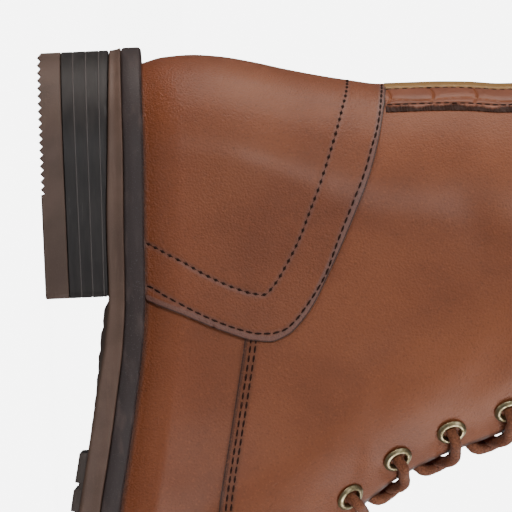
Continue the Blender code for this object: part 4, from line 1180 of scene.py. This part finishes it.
insole_board = Finish("insole leather", specular_ior_level=0.3)
wear = insole_board.noise(30, 4).within(0.35, 0.7)
insole_tone = insole_board.mix(wear, (0.40, 0.235, 0.125), (0.48, 0.30, 0.17))
specks = insole_board.noise(900, 3).within(0.55, 0.75) * 0.4
insole_tone = insole_board.mix(specks, insole_tone, (0.26, 0.14, 0.07))
insole_board.feed("Base Color", insole_tone)
insole_board.feed("Roughness", 0.55 + 0.15 * wear)
insole_board.bump(insole_board.noise(1200, 4), 0.00008)
insole_rings = []
for inset, share in ((0.0, 0.0), (0.0, 0.75), (0.0003, 0.95), (0.0008, 1.0)):
    outline = sole_outline(-WALL - INSOLE_GAP - inset)
    rise = CLEARANCE + INSOLE_THICKNESS * share
    insole_rings.append((outline, stations(outline, 160), lambda x, rise=rise: feather(x) + rise))
stand(slab(insole_rings), "insole_board", insole_board, "insole_leather", "insole")

# Heel counter
# A cover of the same calf over the heel, skived at its edge, lapped over the quarters and sewn down with a
# row that follows the edge. A second row of punched stitches runs inside it as an ornament.
COUNTER_TOP = 0.0023
counter_calf = leather(
    "counter calf",
    (0.190, 0.053, 0.020),
    (0.248, 0.073, 0.027),
    (0.305, 0.102, 0.044),
    (0.200, 0.110, 0.095),
    gloss=0.37,
    band=0.0024,
)
# Places of the two rows on the side of the heel, in millimetres forward and up from the floor
EDGE_ROW = (
    (76.9, 28.0), (76.7, 32.6), (80.2, 38.9), (83.9, 44.6), (87.1, 50.4), (89.8, 56.1), (92.2, 62.5),
    (93.3, 66.7), (93.5, 71.0), (92.6, 75.3), (89.7, 79.2), (85.0, 83.1), (80.4, 86.5), (75.2, 89.7),
    (64.7, 94.0), (52.3, 99.5), (43.9, 103.2), (36.5, 105.7), (31.1, 107.7), (21.8, 109.7), (14.5, 110.6),
)
PUNCHED_ROW = (
    (61.4, 29.6), (63.1, 33.4), (64.5, 36.1), (69.5, 44.2), (74.5, 52.2), (78.5, 60.3), (80.6, 66.3),
    (81.0, 69.6), (78.0, 73.0), (72.2, 76.9), (63.6, 81.7), (54.4, 85.7), (48.2, 88.4), (42.3, 90.6),
    (36.1, 92.8), (30.5, 94.8), (24.8, 96.6), (19.7, 98.2), (12.5, 99.5),
)


def heel_row(places, side, count=400):
    """A row of stitches on the last, smooth through places given in millimetres in the side view."""
    places = np.array(places) * MM
    rows = np.arange(len(places), dtype=float)
    at = np.linspace(0, len(rows) - 1, count)
    x, z = curve(rows, places[:, 0], at), curve(rows, places[:, 1], at)
    h = z - feather(x)
    good = (h > 0.0004) & (x > back_x(h) + 2e-5)
    return in_side_view(x[good], h[good], side)


counter_outline = (np.array([*counter_x, -0.02]), np.array([0.0, *counter_z[1:], 0.0]))
counter_parts, heel_rows = [], {}
for side in (OUTER, INNER):
    grid = wall_grid(side, 18, 160, False, first=0.5)
    kept = inside(counter_outline, grid[..., 0], grid[..., 2])
    edge = beside(counter_x, counter_h, 0.0, side)
    heel_rows[side] = [heel_row(EDGE_ROW, side), heel_row(PUNCHED_ROW, side)]
    counter_parts.append((side, grid, kept, [edge], heel_rows[side], COUNTER_TOP, QUARTER_STEP - 0.0001))
stand(panel(counter_parts), "heel_counter", counter_calf, "counter_leather", "counter")

# Back strip
# A strip with a pressed scale pattern covers the back seam above the counter, over a flat cord of tan piping
# on the middle line. Its long edges are left raw and wavy, and each is sewn down with a fine row.
STRIP_REACH = 0.0080
STRIP_RISE = 0.0017
STRIP_FOOT = 0.505
STRIP_HEAD = COLLAR_BACK - 0.004
SCALE_LENGTH = 0.0138
PIPING_REACH = 0.0009
PIPING_RISE = 0.0008
PIPING_ROW, EDGE_SEWING = 0.00125, 0.0061
PRESSED_DEPTH, SEWN_DEPTH, RAW_DEPTH = 0.00034, 0.00022, 0.00050
strip_heights = np.linspace(STRIP_FOOT, STRIP_HEAD, 380) * SHAFT_HEIGHT


def strip_points(side, ahead, tall, lift):
    """Points this far ahead of the back line in the side view, this tall, and this far out from the last."""
    x = back_x(tall) + ahead
    base = in_side_view(x, tall, side)
    base[..., 1] = np.where(ahead > 0, base[..., 1], axis(x))
    nudged = base + np.array([1e-6, 0, 0])
    points = base + outward(nudged, side) * (lift + relief(base, side))[..., None]
    points[..., 1] = np.where(ahead > 0, points[..., 1], axis(x))
    return points


def gauss(gap, width):
    return np.exp(-((gap / width) ** 2))


ahead, tall = np.meshgrid(np.linspace(0, 1, 64) ** 2 * STRIP_REACH, strip_heights)
wander = 0.00030 * np.sin(tall * 300) + 0.00022 * np.sin(tall * 790 + 1) + 0.00008 * np.sin(tall * 3100)
bow = 0.09 * np.sin(math.pi * np.clip((ahead - PIPING_ROW) / (EDGE_SEWING - PIPING_ROW), 0, 1))
scale = tall / SCALE_LENGTH + 0.32 - bow
cross_gap = np.abs(scale - np.round(scale)) * SCALE_LENGTH
long_gap = np.abs(ahead - 0.0047 - 0.0004 * np.sin(tall * 227))
panel_share = smoothstep((ahead - PIPING_ROW) / 0.0004) * smoothstep((EDGE_SEWING - ahead) / 0.0004)
grooves = np.clip(gauss(cross_gap, 0.00032) + gauss(long_gap, 0.00022), 0, 1) * panel_share
dome = 0.00025 * np.clip(cross_gap / 0.0022, 0, 1) * np.clip(long_gap / 0.0012, 0, 1) * panel_share
sewn = gauss(ahead - PIPING_ROW - 0.00012 * np.sin(tall * 1800), 0.00016)
sewn += gauss(ahead - EDGE_SEWING, 0.00022)
piping = PIPING_RISE * np.sqrt(np.clip(1 - ahead / PIPING_REACH, 0, 1))
raw = smoothstep((ahead - (EDGE_SEWING + 0.0005 + wander)) / 0.0003)
frayed = 0.00014 * np.sin(tall * 5200 + 3 * np.sin(tall * 900)) * raw
strip_lift = STRIP_RISE + dome + piping + frayed
strip_lift -= PRESSED_DEPTH * grooves + SEWN_DEPTH * sewn + RAW_DEPTH * raw
strip_skins = []
for lift in (strip_lift, np.full_like(strip_lift, QUARTER_STEP - 0.0002)):
    halves = [strip_points(side, ahead, tall, lift) for side in (OUTER, INNER)]
    strip_skins.append(np.concatenate([halves[0][:, :0:-1], halves[1]], axis=1))
strip_mesh = closed_sheet(*strip_skins)
strip_words = {
    "pipe": smoothstep((PIPING_REACH + 0.00035 - ahead) / 0.0003),
    "groove": grooves,
    "raw": raw,
    "sewn": np.clip(sewn, 0, 1),
}
for word, values in strip_words.items():
    layer = strip_mesh.verts.layers.float.new(word)
    both = np.concatenate([values[:, :0:-1], values], axis=1).reshape(-1)
    for vert, value in zip(strip_mesh.verts, np.concatenate([both, both])):
        vert[layer] = value
scaled = Finish("pressed scale leather", specular_ior_level=0.30, coat_roughness=0.30)
cloud = scaled.noise(70, 3).within(0.35, 0.65)
strip_tone = scaled.mix(cloud, (0.205, 0.064, 0.031), (0.265, 0.088, 0.044))
strip_tone = scaled.mix(scaled.carried("groove") * 0.70, strip_tone, (0.27, 0.085, 0.026))
strip_tone = scaled.mix(scaled.carried("sewn") * 0.45, strip_tone, (0.10, 0.034, 0.016))
strip_tone = scaled.mix(scaled.carried("pipe"), strip_tone, (0.34, 0.185, 0.060))
strip_tone = scaled.mix(scaled.carried("raw") * 0.94, strip_tone, (0.030, 0.012, 0.008))
scaled.feed("Base Color", strip_tone)
scaled.feed("Roughness", 0.40 + 0.25 * scaled.carried("raw") + 0.06 * cloud)
scaled.feed("Coat Weight", 0.07 - 0.07 * scaled.carried("raw"))
scaled.bump(scaled.noise(1500, 3) + scaled.carried("raw") * scaled.noise(900, 4) * 4, 0.00008)
stand(strip_mesh, "back_seam_strip", scaled, "strip_leather", "back_strip")

# Stitches
# Waxed dark brown thread, about three millimetres a stitch. Each stitch dips into the leather at its ends,
# and on the heel's ornament a wide dark oval of thread, painted shade for a punched hole, shows between one
# stitch and the next.
STITCH_FLATNESS = 0.42


def sew(rows, name, pitch, length, width, slot):
    """Stitches along rows of (points on the last, side, height over the last)."""
    bm = bmesh.new()
    for line, side, lift in rows:
        walked = np.concatenate([[0], np.cumsum(np.linalg.norm(np.diff(line, axis=0), axis=-1))])
        count = int(walked[-1] / pitch)
        at = (np.arange(count) + 0.5) * pitch
        centres = np.stack([np.interp(at, walked, line[:, k]) for k in range(3)], -1)
        ahead = np.stack([np.interp(at + 0.0006, walked, line[:, k]) for k in range(3)], -1) - centres
        normals = outward(centres, side)
        centres = centres + normals * (lift + relief(centres, side))[:, None]
        for centre, way, normal in zip(centres, ahead, normals):
            if np.linalg.norm(way) < 1e-6:
                continue
            x_axis = Vector(way).normalized()
            z_axis = (Vector(normal) - x_axis * Vector(normal).dot(x_axis)).normalized()
            y_axis = z_axis.cross(x_axis)
            axes = Matrix((x_axis * length / 2, y_axis * width / 2, z_axis * width * STITCH_FLATNESS))
            place = Matrix.Translation(centre) @ axes.transposed().to_4x4()
            bmesh.ops.create_uvsphere(bm, u_segments=6, v_segments=5, radius=1, matrix=place)
    return stand(bm, name, thread, slot)


thread = Finish("waxed brown thread", specular_ior_level=0.15)
thread.feed("Base Color", thread.mix(thread.noise(900, 3), (0.016, 0.0065, 0.0045), (0.036, 0.014, 0.009)))
thread.feed("Roughness", 0.5 + 0.2 * thread.noise(700, 2))
thread.bump(thread.noise(2600, 2, (1, 1, 1)), 0.00006)
edge_stitches, punched_stitches, seam_stitches, trim_stitches = [], [], [], []
for side in (OUTER, INNER):
    edge_stitches.append((heel_rows[side][0], side, COUNTER_TOP - 0.00012))
    punched_stitches.append((heel_rows[side][1], side, COUNTER_TOP - 0.00014))
    for gap in SEAM_ROWS:
        seam_stitches.append((beside(seam_x, seam_h, gap, side), side, QUARTER_STEP - 0.00012))
    for reach in (PIPING_ROW, EDGE_SEWING):
        x = back_x(strip_heights) + reach
        trim_stitches.append((in_side_view(x, strip_heights, side), side, STRIP_RISE - 0.00012))
sew(edge_stitches, "counter_edge_stitches", 0.0029, 0.0026, 0.00078, "counter_leather")
# Wide dark ovals of thread stand in for the punched holes: painted shade of the holes.
sew(punched_stitches, "counter_punched_hole_shade", 0.0027, 0.0013, 0.00105, "counter_leather")
sew(punched_stitches, "counter_punched_thread", 0.0027, 0.0026, 0.00042, "counter_leather")
sew(seam_stitches, "quarter_seam_stitches", 0.0030, 0.0027, 0.00078, "upper_leather")
sew(trim_stitches, "back_strip_stitches", 0.0026, 0.0021, 0.00062, "strip_leather")

# Eyelets
# Aged brass rings, each a rolled flange and a barrel pressed through the facing and turned over inside.
EYELET_BORE = 0.0056
EYELET_DIAMETER = 0.0098
FLANGE_HEIGHT = 0.0010
brass = Finish("aged brass", metallic=1.0)
tarnish = brass.noise(600, 4).within(0.38, 0.70)
brass.feed("Base Color", brass.mix(tarnish, (0.44, 0.37, 0.22), (0.22, 0.175, 0.095)))
brass.feed("Roughness", 0.30 + 0.25 * tarnish)
brass.bump(brass.noise(1400, 3), 0.00003)
bore, rim = EYELET_BORE / 2, EYELET_DIAMETER / 2
holes = {}
for pair in range(1, EYELET_PAIRS + 1):
    for side, word in ((OUTER, "outer"), (INNER, "inner")):
        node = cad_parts[f"eyelet_{pair}_{word}"]
        points = np.array([vert.co for vert in node.data.vertices]) - BOOT_SHIFT
        centre = points.mean(axis=0)
        for _ in range(4):
            normal = outward(centre[None], side)[0]
            centre = centre - normal * 0.5 * float(excess(centre[None], side)[0]) * 0.018
        normal = outward(centre[None], side)[0]
        top = float(((points - centre) @ normal).max())
        holes[pair, side] = (centre, normal, top)
        seat, inner_end = top - FLANGE_HEIGHT, -WALL - 0.0003
        profile = (
            (bore - 0.00005, inner_end), (bore - 0.00005, seat + 0.0003), (bore + 0.0001, seat + 0.0007),
            (bore + 0.0005, seat + 0.00096), (bore + 0.0010, seat + 0.0010), (rim - 0.0006, seat + 0.00072),
            (rim - 0.0002, seat + 0.00040), (rim, seat + 0.00012), (rim - 0.00005, seat - 0.0001),
            (rim - 0.0004, seat - 0.00025), (bore + 0.0004, seat - 0.00025), (bore + 0.0004, inner_end),
            (bore + 0.0016, -WALL - 0.0005), (bore + 0.0015, -WALL - 0.0008), (bore + 0.0004, -WALL - 0.0007),
        )
        bm = bmesh.new()
        ring = [bm.verts.new((radius, 0, height)) for radius, height in profile]
        edges = [bm.edges.new((ring[k], ring[(k + 1) % len(ring)])) for k in range(len(ring))]
        bmesh.ops.spin(
            bm, geom=ring + edges, cent=(0, 0, 0), axis=(0, 0, 1), angle=2 * math.pi, steps=40, use_merge=True
        )
        turn = Vector((0, 0, 1)).rotation_difference(Vector(normal)).to_matrix()
        bmesh.ops.rotate(bm, cent=(0, 0, 0), matrix=turn, verts=bm.verts)
        bmesh.ops.translate(bm, vec=centre, verts=bm.verts)
        bmesh.ops.recalc_face_normals(bm, faces=bm.faces)
        stand(bm, f"brass_eyelet_{pair}_{word}", brass, "aged_brass", f"eyelet_{pair}_{word}")

# Lace
# One round braided cotton lace, waxed brown. It lies over the facings at the lowest pair, passes in through
# each eyelet, runs under that facing, and crosses over the other one to the next eyelet up.
LACE_DIAMETER = 0.0037
LACE_STEP, LACE_SIDES = 0.00035, 18
BRAID_PITCH, BRAID_RELIEF = 0.0021, 0.06
CROSS_OVER, CROSS_UNDER = 0.0012, -0.0010
lace_radius = LACE_DIAMETER / 2
fronts = {}
for pair in range(1, EYELET_PAIRS + 1):
    rows = np.linspace(THROAT_START + 0.01, 1.0, 900)
    for side in (OUTER, INNER):
        centre = holes[pair, side][0]
        share = along_line(rows, side, np.full_like(rows, abs(centre[1] - axis(centre[0]))))
        near = np.linalg.norm(on_last(rows, side, share) - centre, axis=-1)
        fronts[pair, side] = float(rows[int(np.argmin(near))])


def lace_run(side):
    """Points of one half of the lace, from the middle of the lowest bar up to the top eyelet."""
    way = []
    start = fronts[1, side]
    gap = float(throat_gap(np.array([start]))[0])
    for share, lift in ((0.0, 0.0031), (0.5, 0.0031), (0.95, 0.0034)):
        way.append(over_throat(start, side * gap * share, lift + lace_radius * 0.4))
    for pair in range(1, EYELET_PAIRS + 1):
        centre, normal, top = holes[pair, side]
        toward = Vector((0, -side, 0))
        toward = np.array((toward - Vector(normal) * toward.dot(Vector(normal))).normalized())
        way.append(centre + normal * (top + lace_radius * 0.95) + toward * 0.0022)
        way.append(centre + normal * (top + lace_radius * 0.10) + toward * 0.0004)
        way.append(centre - normal * (WALL * 0.6) - toward * 0.0001)
        if pair == EYELET_PAIRS:
            way.append(centre - normal * (WALL + 0.0042))
            break
        here, there = fronts[pair, side], fronts[pair + 1, -side]
        gap = float(throat_gap(np.array([(here + there) / 2]))[0])
        next_centre = holes[pair + 1, -side][0]
        y0, y1 = abs(centre[1] - axis(centre[0])), abs(next_centre[1] - axis(next_centre[0]))
        over = CROSS_OVER if side == OUTER else CROSS_UNDER
        edge_y = gap + 0.0006
        for y, share, lift in (
            (-(y0 - 0.0022), 0.00, -WALL - 0.0026), (-(gap + 0.0008), 0.10, -WALL - 0.0021),
            (-0.55 * gap, 0.22, -WALL + 0.0016 + over), (0.0, 0.43, 0.0003 + over),
            (0.40 * gap, 0.56, 0.0012 + over * 0.5), (0.80 * gap, 0.70, 0.0026), (edge_y, 0.82, 0.0032),
            ((edge_y + y1) / 2, 0.92, 0.0033),
        ):
            way.append(over_throat(here + (there - here) * share, -side * y, lift))
        side = -side
    return way


def smooth_way(points, step):
    """A smooth line through points, resampled at equal steps."""
    points = np.array(points)
    gaps = np.linalg.norm(np.diff(points, axis=0), axis=-1) ** 0.5
    knots = np.concatenate([[0], np.cumsum(gaps)])
    padded = np.concatenate([[2 * points[0] - points[1]], points, [2 * points[-1] - points[-2]]])
    times = np.concatenate([[-gaps[0]], knots, [knots[-1] + gaps[-1]]])
    fine = []
    for i in range(1, len(padded) - 2):
        p0, p1, p2, p3 = padded[i - 1:i + 3]
        t0, t1, t2, t3 = times[i - 1:i + 3]
        m1 = (p2 - p1) - (t2 - t1) * ((p2 - p0) / (t2 - t0) - (p1 - p0) / (t1 - t0))
        m2 = (p2 - p1) - (t2 - t1) * ((p3 - p1) / (t3 - t1) - (p3 - p2) / (t3 - t2))
        for s in np.linspace(0, 1, 24, endpoint=False):
            fine.append((2 * s ** 3 - 3 * s ** 2 + 1) * p1 + (s ** 3 - 2 * s ** 2 + s) * m1
                        + (3 * s ** 2 - 2 * s ** 3) * p2 + (s ** 3 - s ** 2) * m2)
    fine.append(points[-1])
    fine = np.array(fine)
    walked = np.concatenate([[0], np.cumsum(np.linalg.norm(np.diff(fine, axis=0), axis=-1))])
    at = np.linspace(0, walked[-1], int(walked[-1] / step) + 1)
    return np.stack([np.interp(at, walked, fine[:, k]) for k in range(3)], -1)


lace_way = smooth_way([*reversed(lace_run(INNER)), *lace_run(OUTER)[1:]], LACE_STEP)
ahead = np.gradient(lace_way, axis=0)
ahead /= np.linalg.norm(ahead, axis=-1, keepdims=True)
across_way = np.cross(ahead[0], (0, 0, 1.0))
rises, acrosses = [], []
for tangent in ahead:
    across_way = across_way - tangent * np.dot(across_way, tangent)
    across_way /= np.linalg.norm(across_way)
    acrosses.append(across_way)
    rises.append(np.cross(across_way, tangent))
acrosses, rises = np.array(acrosses), np.array(rises)
braid_turn = np.arange(len(lace_way)) * LACE_STEP * 2 * math.pi / BRAID_PITCH
tube = np.empty((LACE_SIDES + 1, len(lace_way), 3))
for k in range(LACE_SIDES + 1):
    angle = 2 * math.pi * (k % LACE_SIDES) / LACE_SIDES
    strands = np.maximum(np.sin(braid_turn + angle * 4), np.sin(braid_turn - angle * 4))
    radius = lace_radius * (1 - BRAID_RELIEF + BRAID_RELIEF * strands)[:, None]
    tube[k] = lace_way + (acrosses * math.cos(angle) + rises * math.sin(angle)) * radius
bm = bmesh.new()
bmesh.ops.create_grid(bm, x_segments=len(lace_way) - 1, y_segments=LACE_SIDES, size=0.5)
for vert, point in zip(bm.verts, tube.reshape(-1, 3)):
    vert.co = point
bmesh.ops.remove_doubles(bm, verts=bm.verts, dist=1e-7)
bmesh.ops.holes_fill(bm, edges=[edge for edge in bm.edges if edge.is_boundary], sides=0)
bmesh.ops.recalc_face_normals(bm, faces=bm.faces)
if bm.calc_volume(signed=True) < 0:
    bmesh.ops.reverse_faces(bm, faces=bm.faces)
braid = Finish("braided cotton", specular_ior_level=0.25, sheen_weight=0.10, sheen_roughness=0.5)
fuzz = braid.noise(1800, 4)
lace_tone = braid.mix(fuzz.within(0.3, 0.7), (0.120, 0.036, 0.016), (0.270, 0.092, 0.042))
lace_tone = braid.mix(braid.noise(220, 2).within(0.4, 0.7) * 0.35, lace_tone, (0.33, 0.130, 0.065))
braid.feed("Base Color", lace_tone)
braid.feed("Roughness", 0.62 + 0.2 * fuzz)
braid.bump(braid.cells(1500) + fuzz, 0.00016)
stand(bm, "braided_lace", braid, "lace_cotton", "lace_bar", *[f"lace_cross_{k}" for k in range(1, 6)])
